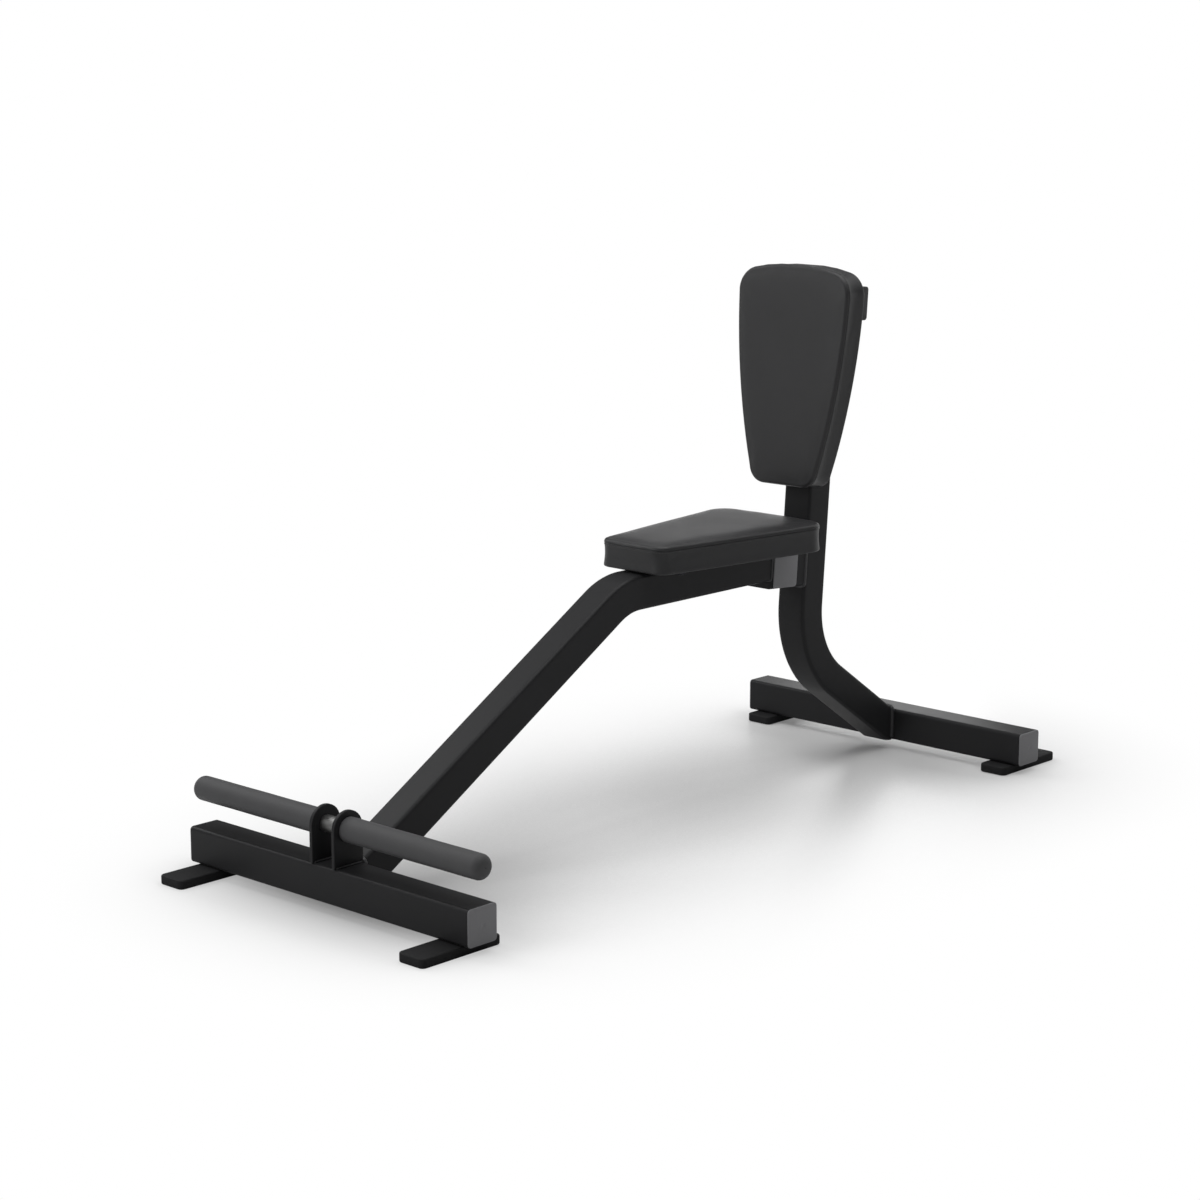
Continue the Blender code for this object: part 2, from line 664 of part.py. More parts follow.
def cushion_mesh(name, outline, thickness):
    """Stack outlines: square hem, sides drawn in at mid height, rounded edge and a crowned top."""
    rings = [(offset_outline(outline, CUSHION_HEM_STEP), 0.0), (outline, CUSHION_HEM_HEIGHT)]
    side_height = thickness - CUSHION_EDGE
    for share in WAIST_SHARES:
        drawn_in = CUSHION_WAIST * math.sin(math.pi * share)
        rings.append((offset_outline(outline, drawn_in), side_height * share))
    for across, up in arc(0, 0, CUSHION_EDGE, 0, EDGE_SWEEP, PAD_EDGE_STEPS):
        rings.append((offset_outline(outline, CUSHION_EDGE - across), side_height + up))
    rim = offset_outline(outline, CUSHION_EDGE)
    rim_height = side_height + CUSHION_EDGE * math.sin(math.radians(CROWN_START))
    for share in CROWN_SHARES:
        rise = CUSHION_CROWN * (1 - share ** 2)
        rings.append((shrunk_outline(rim, share), rim_height + rise))
    bm = bmesh.new()
    base, base_height = rings[0]
    verts = [bm.verts.new((point.x, point.y, base_height)) for point in base]
    top = bm.faces.new(verts)
    for ring, height in rings[1:]:
        made = bmesh.ops.extrude_face_region(bm, geom=with_edges_and_vertices([top]))["geom"]
        top = next(item for item in made if isinstance(item, bmesh.types.BMFace))
        for vert, point in zip(top.verts, ring):
            vert.co = (point.x, point.y, height)
    bmesh.ops.recalc_face_normals(bm, faces=bm.faces)
    return mesh_from(bm, name)


def make_pad(name, outline, thickness, place, bolts, under):
    """Upholstered pad, own Z towards the sitter: cushion, board inside it, tee nuts and bolts.

    bolts are (label, x, y); under is the depth of steel that each bolt passes below the board.
    """
    cover = cushion_mesh(name + "_cushion", outline, thickness)
    cushion = new_piece(name + "_cushion", cover, "vinyl", place)
    board_outline = offset_outline(outline, BOARD_INSET)
    board_mesh = flat_mesh(name + "_board", board_outline, BOARD_THICKNESS)
    board = new_piece(name + "_board", board_mesh, "plywood", place @ at(0, 0, BOARD_THICKNESS / 2))
    pocket_depth = BOARD_THICKNESS + TOUCH
    pocket_outline = offset_outline(outline, BOARD_INSET - TOUCH)
    pocket = flat_mesh(name + "_pocket", pocket_outline, 2 * pocket_depth)
    cut(cushion, new_cutter(name + "_pocket", pocket, place))
    for label, x, y in bolts:
        make_pad_bolt(board, f"{name}_bolt_{label}", f"{name}_tee_nut_{label}", place @ at(x, y, 0), under)


def make_pad_bolt(board, bolt_name, nut_name, place, under):
    """Bolt with a washer, up through the steel into a tee nut in the board."""
    seat = -TOUCH - under - TOUCH
    washer_under = seat - WASHER_THICKNESS
    head_under = washer_under - BOLT_HEAD_HEIGHT
    shank = BOLT_SHANK / 2
    washer = WASHER_DIAMETER / 2
    profile = [(0, BOLT_TIP), (shank, BOLT_TIP), (shank, seat), (washer, seat), (washer, washer_under)]
    profile += [(0, washer_under)]
    mesh = turned_mesh(bolt_name, profile, SMALL_ROUND_STEPS)
    bolt = new_piece(bolt_name, mesh, "zinc", place)
    overlap = WASHER_THICKNESS / 2
    across_corners = BOLT_HEAD / math.cos(math.radians(30))
    head_mesh = rod_mesh(bolt_name + "_head", across_corners, BOLT_HEAD_HEIGHT + overlap, 6)
    head_z = (head_under + washer_under + overlap) / 2
    join(bolt, new_cutter(bolt_name + "_head", head_mesh, place @ at(0, 0, head_z)))
    bore = shank + BOLT_HOLE_FIT
    barrel = TEE_BARREL / 2
    flange = TEE_FLANGE / 2
    top = BOARD_THICKNESS
    flange_under = top - TEE_FLANGE_THICKNESS
    bottom = top - TEE_LENGTH
    nut_profile = [(bore, top), (flange, top), (flange, flange_under), (barrel, flange_under)]
    nut_profile += [(barrel, bottom), (bore, bottom), (bore, top)]
    new_piece(nut_name, turned_mesh(nut_name, nut_profile, SMALL_ROUND_STEPS), "zinc", place)
    drill_length = 2 * (BOARD_THICKNESS + DRILL_OVERRUN)
    hole = rod_mesh(nut_name + "_hole", TEE_BARREL + 2 * BOLT_HOLE_FIT, drill_length)
    cut(board, new_cutter(nut_name + "_hole", hole, place))
    well_depth = TEE_FLANGE_THICKNESS + TOUCH
    well = rod_mesh(nut_name + "_well", TEE_FLANGE + 2 * BOLT_HOLE_FIT, 2 * well_depth)
    cut(board, new_cutter(nut_name + "_well", well, place @ at(0, 0, top)))


def drill_for_bolt(target, name, place, thickness):
    """Drill a bolt's clearance hole through the steel below a pad."""
    hole = rod_mesh(name, BOLT_SHANK + 2 * BOLT_HOLE_FIT, thickness + 2 * DRILL_OVERRUN)
    cut(target, new_cutter(name, hole, place @ at(0, 0, -TOUCH - thickness / 2)))


def make_seat():
    """Seat pad on two cross plates that lie on the main tube."""
    place = at(0, SEAT_FRONT_Y, SEAT_BOTTOM)
    outline = pad_outline(
        SEAT_LENGTH,
        SEAT_NARROW_WIDTH,
        SEAT_MIDDLE_WIDTH,
        SEAT_WIDE_WIDTH,
        SEAT_NARROW_CORNER,
        SEAT_WIDE_CORNER,
        SEAT_WIDE_BOW,
    )
    front_row = ("front", SEAT_BOLT_FRONT, SEAT_BOLT_FRONT_SPACING)
    rear_row = ("rear", SEAT_BOLT_REAR, SEAT_BOLT_REAR_SPACING)
    bolts = []
    for row, y, spacing in (front_row, rear_row):
        width = spacing + 2 * SEAT_PLATE_MARGIN
        plate_outline = rounded_rectangle(width, SEAT_PLATE_WIDTH, SEAT_PLATE_CORNER)
        plate_mesh = flat_mesh("seat_plate_" + row, plate_outline, SEAT_PLATE_THICKNESS)
        plate_z = SEAT_BOTTOM - TOUCH - SEAT_PLATE_THICKNESS / 2
        plate_place = at(0, SEAT_FRONT_Y + y, plate_z)
        plate = new_piece("seat_plate_" + row, plate_mesh, "steel_black", plate_place)
        for side, sign in (("right", 1), ("left", -1)):
            x = sign * spacing / 2
            drill_for_bolt(plate, f"seat_hole_{row}_{side}", place @ at(x, y, 0), SEAT_PLATE_THICKNESS)
            bolts.append((f"{row}_{side}", x, y))
    make_pad("seat", outline, SEAT_THICKNESS, place, bolts, SEAT_PLATE_THICKNESS)


def make_back(upright, crossbar):
    """Back pad bolted through the crossbar and the upright."""
    place = lean_frame(BACK_CLIMB, HALF_TUBE + TOUCH)
    outline = pad_outline(
        BACK_LENGTH,
        BACK_NARROW_WIDTH,
        BACK_MIDDLE_WIDTH,
        BACK_WIDE_WIDTH,
        BACK_NARROW_CORNER,
        BACK_WIDE_CORNER,
        BACK_WIDE_BOW,
    )
    half = BACK_BOLT_UPPER_SPACING / 2
    bolts = []
    for side, sign in (("right", 1), ("left", -1)):
        bolts.append((f"upper_{side}", sign * half, BACK_BOLT_UPPER))
        hole_place = place @ at(sign * half, BACK_BOLT_UPPER, 0)
        drill_for_bolt(crossbar, f"back_hole_upper_{side}", hole_place, TUBE_SIDE)
    for number in (1, 2):
        y = BACK_BOLT_LOWER + BACK_BOLT_LOWER_SPACING * (number - 1)
        bolts.append((f"lower_{number}", 0, y))
        drill_for_bolt(upright, f"back_hole_lower_{number}", place @ at(0, y, 0), TUBE_SIDE)
    make_pad("back", outline, BACK_THICKNESS, place, bolts, TUBE_SIDE)


clear_scene()
PARTS = new_collection("utility_bench")
CUTTERS = new_collection("cutters")
make_beam("front_beam", "front", FRONT_Y)
make_beam("rear_beam", "rear", REAR_Y)
make_main_tube()
UPRIGHT = make_upright()
make_stub()
CROSSBAR = make_crossbar()
make_footrest()
make_seat()
make_back(UPRIGHT, CROSSBAR)
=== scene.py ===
"""Utility bench: upholstery, welds, grips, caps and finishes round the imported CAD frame.

Laid out as a Blender add-on and run as a script. Metres, +Z up; the sitter faces -Y.
"""

import math

import bmesh
import bpy
import numpy as np
from mathutils import Matrix, Vector


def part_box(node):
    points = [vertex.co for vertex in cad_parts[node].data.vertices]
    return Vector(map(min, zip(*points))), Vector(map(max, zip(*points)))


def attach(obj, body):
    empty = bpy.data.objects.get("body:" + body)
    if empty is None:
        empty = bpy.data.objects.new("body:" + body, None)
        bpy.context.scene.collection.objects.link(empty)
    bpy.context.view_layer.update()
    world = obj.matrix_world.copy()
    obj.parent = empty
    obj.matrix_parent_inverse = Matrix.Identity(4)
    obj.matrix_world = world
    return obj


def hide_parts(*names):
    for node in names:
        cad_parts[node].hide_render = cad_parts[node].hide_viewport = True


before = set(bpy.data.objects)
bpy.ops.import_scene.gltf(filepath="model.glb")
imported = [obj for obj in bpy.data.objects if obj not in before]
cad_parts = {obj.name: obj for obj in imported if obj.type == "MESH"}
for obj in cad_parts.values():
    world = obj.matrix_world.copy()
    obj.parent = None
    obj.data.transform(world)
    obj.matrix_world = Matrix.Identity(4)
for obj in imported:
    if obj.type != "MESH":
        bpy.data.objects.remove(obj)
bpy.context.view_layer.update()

bl_info = {
    "name": "Utility bench",
    "version": (1, 0, 0),
    "blender": (4, 5, 0),
    "location": "3D View > Sidebar > Utility bench",
    "description": "Upholstery, welds, grips, caps and finishes round the bench's CAD frame",
    "category": "Add Mesh",
}

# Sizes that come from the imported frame
BEAM_LOW, BEAM_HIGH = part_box("front_beam")
BEAM_BOTTOM = BEAM_LOW.z
BEAM_TOP = BEAM_HIGH.z
BEAM_MIDDLE = (BEAM_BOTTOM + BEAM_TOP) / 2
HALF_BEAM = (BEAM_HIGH.x - BEAM_LOW.x) / 2
TUBE_SIDE = BEAM_TOP - BEAM_BOTTOM
HALF_TUBE = TUBE_SIDE / 2
FRONT_Y = (BEAM_LOW.y + BEAM_HIGH.y) / 2
REAR_Y = -FRONT_Y
SEAT_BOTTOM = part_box("seat_board")[0].z

BEAMS = (("front", FRONT_Y), ("rear", REAR_Y))
SIDES = (("right", 1), ("left", -1))

# Sizes repeated from the part's source
TOUCH = 0.0003
TUBE_CORNER = 0.0055
MAIN_FOOT_HEIGHT = 0.040
SEAT_TUBE_HEIGHT = 0.373
MAIN_BEND_Y = -0.0615
MAIN_BEND_RADIUS = 0.120
UPRIGHT_FOOT_HEIGHT = 0.040
UPRIGHT_BEND_RADIUS = 0.155
UPRIGHT_LEAN = math.radians(4.3)
KNEE = Vector((0, 0.3889, 0.1985))
STUB_CLIMB = 0.15897
STUB_LENGTH = 0.083
STUB_HEIGHT = 0.069
STUB_CORNER = 0.006
PLATE_THICKNESS = 0.003
CROSSBAR_CLIMB = 0.596
CROSSBAR_LENGTH = 0.155
CAP_PLATE = 0.0027
FOOT_WIDTH = 0.0515
FOOT_LENGTH = 0.151
FOOT_THICKNESS = 0.0143
FOOT_CORNER = 0.009
FOOT_EDGE = 0.0025
COVER_LENGTH = 0.060
COVER_HEIGHT = 0.066
COVER_CORNER = 0.006
COVER_EDGE = 0.001
COVER_THICKNESS = 0.0018
SCREW_WELL = 0.0138
SCREW_WELL_DEPTH = 0.0063
SEAT_FRONT_Y = -0.0295
CROWN_FLATNESS = 7
BACK_CLIMB = 0.2916
BAR_HEIGHT = 0.124
SEAT_BOLTS = ((0.040, 0.075), (0.060, 0.262))
BACK_BOLTS = ((-0.045, 0.3044), (0.045, 0.3044), (0, 0.060), (0, 0.150))

# Directions on the upright
UP = Vector((0, math.sin(UPRIGHT_LEAN), math.cos(UPRIGHT_LEAN)))
FORWARD = Vector((0, -math.cos(UPRIGHT_LEAN), math.sin(UPRIGHT_LEAN)))
ACROSS = Vector((1, 0, 0))
PLATE_FRONT = HALF_TUBE + TOUCH + STUB_LENGTH + TOUCH + PLATE_THICKNESS

# Sizes of the trim, as benches of this kind have them; a weld's path lies off the tube's wall by
# WELD_OUT and off the face it meets by WELD_LIFT, and stops WELD_FOOT above the beam's underside
PLATE_EDGE = 0.0005
SEAT_PLATE_CORNER = 0.006
WELD_OUT = 0.0004
WELD_LIFT = 0.0006
WELD_FOOT = 0.004
PLUG_INSET = 0.0028
PLUG_DEPTH = 0.014
CAP_UNDERCUT = 0.0002
CAP_RIM = 0.0012
BAR_WALL = 0.002
EAR_EDGE = 0.0009
GRIP_END = 0.0125
GRIP_LIP = 0.0015
HEM = 0.0022
SEAM_DROP = 0.0012
BACKING_INSET = 0.0115
STAPLE_INSET = 0.005
STEEL_FADE = 0.004

# A bend's walls lie beyond this share of the half width, and its outer wall moves by this share
# of the inner wall's dish
BEND_WALL = 0.9
BEND_FLATTENING = 0.4

# Angle in degrees above which an edge is drawn sharp
SHARP = 40

# How the cushions' cloth is used: its largest move, the heights between which it is let in, and
# the share of the move that the cushion takes
CLOTH_CAP = 0.005
CLOTH_HELD = 0.006
CLOTH_LET_IN = 0.02
CLOTH_SHARE = 0.2

# The camera that took the photograph, fitted to the two beams
CAMERA_PLACE = (2.90296, -3.20831, 1.24989)
CAMERA_AZIMUTH = 0.75073755
CAMERA_ELEVATION = 0.20430428
CAMERA_LENS = 84.39
SENSOR_WIDTH = 36.0

# Studio light: (name, place, target, side, watts) of each soft lamp
LAMPS = (
    ("overhead_softbox", (0.3, 0.3, 2.9), (0, 0, 0.1), 2.7, 74),
    ("left_softbox", (-2.3, -0.8, 2.0), (0, -0.2, 0.2), 1.6, 27),
    ("front_softbox", (-0.9, -3.1, 1.7), (0, 0, 0.3), 1.8, 45),
    ("rear_strip", (-0.93, 1.89, 0.45), (0, 0.6475, 0.07), 0.45, 1.35),
    ("rear_softbox", (-1.4, 2.0, 0.75), (0, 0.2, 0.3), 1.05, 2.7),
    ("back_softbox", (0.3, 3.3, 1.5), (0, 0.2, 0.3), 1.8, 14),
)
WORLD_FILL = 0.17

# What the studio shows in a reflection: (elevation in degrees, strength), from a white curtain up
STUDIO_BANDS = ((2, 1.0), (6, 0.03), (24, 0.03), (38, 0.6))

# The floor's shade lies round this middle line and has turned white at the end of the fade
FLOOR_MIDDLE = (-0.01, 0.06)
FLOOR_LINE = 0.43
FLOOR_FADE = (0.12, 0.68)
FLOOR_MIRRORED_FADE = (1.5, 5.0)
FLOOR_SHADE = 2.3
FLOOR_DARKEST = 0.58


def length(label, words, value):
    """A length property in metres."""
    return bpy.props.FloatProperty(
        name=label, description=words, default=value, min=0.0, unit="LENGTH", precision=4
    )


def colour(label, words, value):
    """A colour property that holds an sRGB hex value."""
    return bpy.props.StringProperty(name=label, description=words, default=value)


class BenchSizes(bpy.types.PropertyGroup):
    """Sizes of the details that the looks add to the frame."""

    weld_radius: length("Weld bead", "Radius of the weld beads on the tubes", 0.0042)
    weld_pitch: length("Weld ripple", "Distance from one weld ripple to the next", 0.0034)
    bend_dish: length("Bend dish", "How far a bend's inner wall is drawn in", 0.0012)
    cap_dome: length("Cap dome", "Height of the dome on the plastic caps", 0.0009)
    cushion_edge: length("Cushion edge", "Radius of the cushions' upper edge", 0.0056)
    cushion_crown: length("Cushion crown", "Rise of the cushions in the middle", 0.0024)
    cushion_waist: length("Cushion waist", "How far the cushions' sides draw in", 0.0016)
    seam_depth: length("Seam depth", "Depth of the groove along the seams", 0.0011)
    stitch_pitch: length("Stitch", "Distance from one stitch to the next", 0.0045)
    staple_pitch: length("Staple spacing", "Distance between the staples under a pad", 0.036)


class BenchColours(bpy.types.PropertyGroup):
    """Colours of the bench's finishes, as sRGB hex values."""

    paint: colour("Paint", "Powder coat on the steel", "#242425")
    cap_plastic: colour("Caps", "Moulded plastic of the end caps", "#6a6a6c")
    crossbar_cap: colour("Crossbar caps", "Moulded plastic of the crossbar's caps", "#2d2d2e")
    foot_rubber: colour("Feet", "Rubber of the feet", "#171718")
    grip_foam: colour("Grips", "Foam rubber of the grips", "#3f3f40")
    vinyl: colour("Vinyl", "Upholstery vinyl", "#272728")
    thread: colour("Thread", "Sewing thread", "#1d1d1e")
    backing: colour("Backing", "Cloth under the pads", "#171718")
    steel: colour("Bare steel", "Plated steel of the footrest bar", "#6f6f6e")
    zinc: colour("Zinc", "Zinc plate on nuts and screws", "#b4b5b0")
    black_zinc: colour("Black zinc", "Black-passivated zinc on the bolts", "#2c2c2f")
    plywood: colour("Plywood", "Face of the pads' boards", "#b98f5e")
    floor: colour("Floor", "Studio floor", "#f4f4f4")


def sizes():
    """The sizes that a user may change."""
    return bpy.context.scene.bench_sizes


def colours():
    """The colours that a user may change."""
    return bpy.context.scene.bench_colours


def linear(hex_value):
    """Linear RGBA from an sRGB hex value: the sRGB curve is taken off each channel."""
    parts = [int(hex_value[i:i + 2], 16) / 255 for i in (1, 3, 5)]
    flat = [p / 12.92 if p <= 0.04045 else ((p + 0.055) / 1.055) ** 2.4 for p in parts]
    return (*flat, 1.0)


# Surfaces: arrays of points, rows by columns by three


def rounded_rectangle(width, height, radius, steps=8, support=0.0008):
    """Closed outline: four arcs, each with a point just before and after it on the flats.

    Corner k is the first corner's arc turned by k quarter turns about its own centre.
    """
    angles = np.linspace(0, math.pi / 2, steps + 1)
    arc = radius * np.stack([np.cos(angles), np.sin(angles)], 1)
    arc = np.vstack([arc[:1] + (0, -support), arc, arc[-1:] + (-support, 0)])
    middle = np.array([width / 2 - radius, height / 2 - radius])
    corners = []
    for quarter, side in enumerate(((1, 1), (-1, 1), (-1, -1), (1, -1))):
        c, s = math.cos(quarter * math.pi / 2), math.sin(quarter * math.pi / 2)
        corners.append(arc @ np.array([[c, s], [-s, c]]) + middle * side)
    return np.vstack(corners)


def resampled(points, count, closed=True):
    """Points spaced evenly by arc length along a polyline, found by linear interpolation."""
    line = np.vstack([points, points[:1]]) if closed else np.asarray(points)
    run = np.concatenate([[0], np.cumsum(np.linalg.norm(np.diff(line, axis=0), axis=1))])
    at = np.linspace(0, run[-1], count, endpoint=not closed)
    return np.stack([np.interp(at, run, line[:, k]) for k in range(line.shape[1])], 1)


def unit(vectors):
    """Vectors divided by their own lengths."""
    return vectors / np.linalg.norm(vectors, axis=-1, keepdims=True)


def tangents(line):
    """Direction of a closed line at each point: from the point before it to the one after."""
    return unit(np.roll(line, -1, 0) - np.roll(line, 1, 0))


def length_of(line):
    """Length of a line from its first point to its last: the sum of its steps."""
    return np.linalg.norm(np.diff(line, axis=0), axis=1).sum()


def inset(outline, distance):
    """Outline moved inwards along its normals; its points run anticlockwise."""
    along = tangents(outline)
    return outline + np.stack([-along[:, 1], along[:, 0]], 1) * distance


def stacked(outline, levels):
    """Rings of an outline: level (inset, share, height) is inset, drawn to the middle, raised."""
    middle = outline.mean(0)
    rings = []
    for distance, share, height in levels:
        ring = middle + (inset(outline, distance) - middle) * share
        rings.append(np.column_stack([ring, np.full(len(ring), height)]))
    return np.array(rings)


def rounded_head(edge, top, steps):
    """Levels of a rounded upper edge: a quarter circle from the side in to the top."""
    angles = np.linspace(0, math.pi / 2, steps + 1)
    return [(edge * (1 - math.cos(a)), 1, top - edge * (1 - math.sin(a))) for a in angles]


def block_levels(low, high, edge, steps):
    """Levels of a block with rounded edges: quarter circles at the foot and at the head."""
    angles = np.linspace(0, math.pi / 2, steps + 1)
    foot = [(edge * (1 - math.sin(a)), 1, low + edge * (1 - math.cos(a))) for a in angles]
    return foot + rounded_head(edge, high, steps)


def round_angles(steps):
    """Angles of one full turn in equal steps."""
    return np.linspace(0, 2 * math.pi, steps, endpoint=False)


def turned(profile, steps):
    """Profile (radius, height) carried round the Z axis."""
    angles = round_angles(steps)
    radius, height = np.asarray(profile, float).T
    across = radius[:, None, None] * np.stack([np.cos(angles), np.sin(angles)], 1)[None]
    upward = np.broadcast_to(height[:, None, None], (*across.shape[:2], 1))
    return np.concatenate([across, upward], 2)


def placed(points, matrix):
    """Points turned and moved by a 4 x 4 matrix."""
    m = np.array(matrix)
    return points @ m[:3, :3].T + m[:3, 3]


def arc_points(centre, radius, start, end, steps):
    """Points on an arc in a plane, angles in degrees."""
    angles = np.radians(np.linspace(start, end, steps + 1))
    return [(centre[0] + radius * math.cos(a), centre[1] + radius * math.sin(a)) for a in angles]


def grid_faces(rows, columns, first, ring):
    """Quads between neighbours of a grid whose columns close on themselves, as point numbers."""
    number = first + np.arange(rows * columns).reshape(rows, columns)
    below = number if ring else number[:-1]
    above = np.roll(number, -1, 0) if ring else number[1:]
    return np.stack([below, np.roll(below, -1, 1), np.roll(above, -1, 1), above], 2).reshape(-1, 4)


def fan_faces(row, middle):
    """Triangles from a closed row of points to one point in its middle."""
    return np.stack([row, np.roll(row, -1), np.full(len(row), middle)], 1)


def build(name, parts, sharp=SHARP):
    """Mesh object from grids of points: "fan" closes both ends of a grid, "ring" joins them."""
    points, faces = [], []
    count = 0
    for grid, ends in parts:
        rows, columns, _ = grid.shape
        points.append(grid.reshape(-1, 3))
        faces += grid_faces(rows, columns, count, ends == "ring").tolist()
        if ends == "fan":
            last = count + rows * columns
            points.append(np.array([grid[0].mean(0), grid[-1].mean(0)]))
            faces += fan_faces(count + np.arange(columns), last).tolist()
            faces += fan_faces(last - columns + np.arange(columns), last + 1).tolist()
            count += 2
        count += rows * columns
    mesh = bpy.data.meshes.new(name)
    mesh.from_pydata(np.vstack(points).tolist(), [], faces)
    return object_from(name, mesh, sharp)


def object_from(name, mesh, sharp=SHARP):
    """Object with its faces turned outwards, smooth except across angles above sharp degrees."""
    bm = bmesh.new()
    bm.from_mesh(mesh)
    bmesh.ops.remove_doubles(bm, verts=bm.verts, dist=1e-7)
    bmesh.ops.recalc_face_normals(bm, faces=bm.faces)
    bm.to_mesh(mesh)
    bm.free()
    mesh.shade_smooth()
    mesh.set_sharp_from_angle(angle=math.radians(sharp))
    return add_object(name, mesh)


def add_object(name, data):
    """Object that shows a mesh, a lamp or a camera, linked to the scene."""
    obj = bpy.data.objects.new(name, data)
    bpy.context.scene.collection.objects.link(obj)
    return obj


def block(name, outline, levels, place):
    """Closed piece: an outline's rings at its levels, set in its place."""
    return build(name, [(placed(stacked(outline, levels), place), "fan")])


def dress(obj, material, slot, *nodes):
    """Give a piece its finish, let it ride on the bench and hide the CAD nodes that it stands for.
    """
    obj.data.materials.clear()
    obj.data.materials.append(material)
    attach(obj, "root")
    if nodes:
        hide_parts(*nodes)
    return obj


def lean_frame(climb, forward):
    """Place on the upright: own X is +X, own Y runs up the upright, own Z points forward."""
    turn = Matrix.Rotation(math.radians(90) - UPRIGHT_LEAN, 4, "X")
    return Matrix.Translation(KNEE + UP * climb + FORWARD * forward) @ turn


def end_frame(x, y, z, sign):
    """Place at a tube's end: own Z points out along +X or -X, own Y up."""
    turn = Matrix(((0, 0, sign), (sign, 0, 0), (0, 1, 0))).to_4x4()
    return Matrix.Translation((x, y, z)) @ turn


# Materials: patterns read Object coordinates in metres, so scale 500 draws marks of 2 mm


def add_node(tree, kind, inputs=None, **settings):
    """Add a node: settings are its own, inputs are values or the sockets that feed it."""
    made = tree.nodes.new(kind)
    for key, value in settings.items():
        setattr(made, key, value)
    for key, value in (inputs or {}).items():
        socket = made.inputs[key]
        if isinstance(value, bpy.types.NodeSocket):
            tree.links.new(value, socket)
        else:
            socket.default_value = value
    return made


def start_material(name, **constants):
    """Material with one Principled shader, whose constants are set on its own sockets."""
    material = bpy.data.materials.new(name)
    material.use_nodes = True
    tree = material.node_tree
    shader = tree.nodes["Principled BSDF"]
    for key, value in constants.items():
        shader.inputs[key.replace("_", " ")].default_value = value
    place = add_node(tree, "ShaderNodeTexCoord").outputs["Object"]
    return material, tree, shader, place


def made_once(maker):
    """Return the material that a maker has already made, or make it."""
    def get():
        found = bpy.data.materials.get(maker.__name__)
        return found or maker(maker.__name__)
    return get


def tint(hex_value, factor):
    """The linear colour of a hex value, lightened or darkened by a factor."""
    base = linear(hex_value)
    return (*[min(1.0, c * factor) for c in base[:3]], 1.0)


def vary(tree, shader, pattern, hex_value, tones, gloss=None, relief=None):
    """Let a pattern vary a surface.

    Its colour runs between two tones of a hex value and its roughness between two values.
    relief is (height, strength, depth in metres) of its bump.
    """
    shade = add_node(tree, "ShaderNodeMix", {
        "Factor": pattern, "A": tint(hex_value, tones[0]), "B": tint(hex_value, tones[1]),
    }, data_type="RGBA")
    tree.links.new(shade.outputs["Result"], shader.inputs["Base Color"])
    if gloss:
        rough = add_node(tree, "ShaderNodeMapRange", {
            "Value": pattern, "To Min": gloss[0], "To Max": gloss[1],
        })
        tree.links.new(rough.outputs["Result"], shader.inputs["Roughness"])
    if relief:
        height, strength, depth = relief
        bump = add_node(tree, "ShaderNodeBump", {
            "Height": height, "Strength": strength, "Distance": depth,
        })
        tree.links.new(bump.outputs["Normal"], shader.inputs["Normal"])


@made_once
def satin_powder_coat(name):
    """Powder coat, sprayed dry and baked: satin, with a soft orange peel some 2 mm across."""
    material, tree, shader, place = start_material(name, IOR=1.5, Specular_IOR_Level=0.08)
    cloud = add_node(tree, "ShaderNodeTexNoise", {"Vector": place, "Scale": 14.0, "Detail": 2.0})
    peel = add_node(tree, "ShaderNodeTexNoise", {"Vector": place, "Scale": 480.0, "Detail": 1.0})
    vary(tree, shader, cloud.outputs["Fac"], colours().paint, tones=(0.92, 1.08),
         gloss=(0.35, 0.43), relief=(peel.outputs["Fac"], 0.06, 0.0004))
    return material


@made_once
def weld_coat_painted_highlight(name):
    """The same powder coat on a weld bead, lightened as a painted highlight; it also shines more.
    """
    material, tree, shader, place = start_material(name, IOR=1.5, Specular_IOR_Level=0.3)
    cloud = add_node(tree, "ShaderNodeTexNoise", {"Vector": place, "Scale": 90.0, "Detail": 2.0})
    # Tones of 1.5 to 2.1 lighten the paint's colour: a painted highlight on the weld beads
    vary(tree, shader, cloud.outputs["Fac"], colours().paint, tones=(1.5, 2.1),
         gloss=(0.38, 0.46))
    return material


def cap_plastic(name, hex_value, specular):
    """Injection-moulded polyethylene from a spark-eroded tool: matt, with a fine even grain."""
    material, tree, shader, place = start_material(name, IOR=1.5, Specular_IOR_Level=specular)
    cloud = add_node(tree, "ShaderNodeTexNoise", {"Vector": place, "Scale": 40.0, "Detail": 2.0})
    grain = add_node(tree, "ShaderNodeTexNoise", {"Vector": place, "Scale": 1600.0, "Detail": 1.0})
    vary(tree, shader, cloud.outputs["Fac"], hex_value, tones=(0.93, 1.07),
         gloss=(0.50, 0.60), relief=(grain.outputs["Fac"], 0.15, 0.0002))
    return material


@made_once
def moulded_cap_plastic(name):
    """Grey moulded plastic of the beams' caps and the stub's covers: paler than the paint."""
    return cap_plastic(name, colours().cap_plastic, 0.45)


@made_once
def moulded_black_plastic(name):
    """Black moulded plastic of the crossbar's caps: as dark as the paint, but duller."""
    return cap_plastic(name, colours().crossbar_cap, 0.25)


@made_once
def moulded_foot_rubber(name):
    """Compression-moulded rubber: matt black with a dusty bloom in soft patches."""
    material, tree, shader, place = start_material(name, IOR=1.52, Specular_IOR_Level=0.15)
    bloom = add_node(tree, "ShaderNodeTexNoise", {"Vector": place, "Scale": 55.0, "Detail": 3.0})
    grain = add_node(tree, "ShaderNodeTexNoise", {"Vector": place, "Scale": 900.0, "Detail": 2.0})
    vary(tree, shader, bloom.outputs["Fac"], colours().foot_rubber, tones=(0.85, 1.3),
         gloss=(0.62, 0.78), relief=(grain.outputs["Fac"], 0.2, 0.0003))
    return material


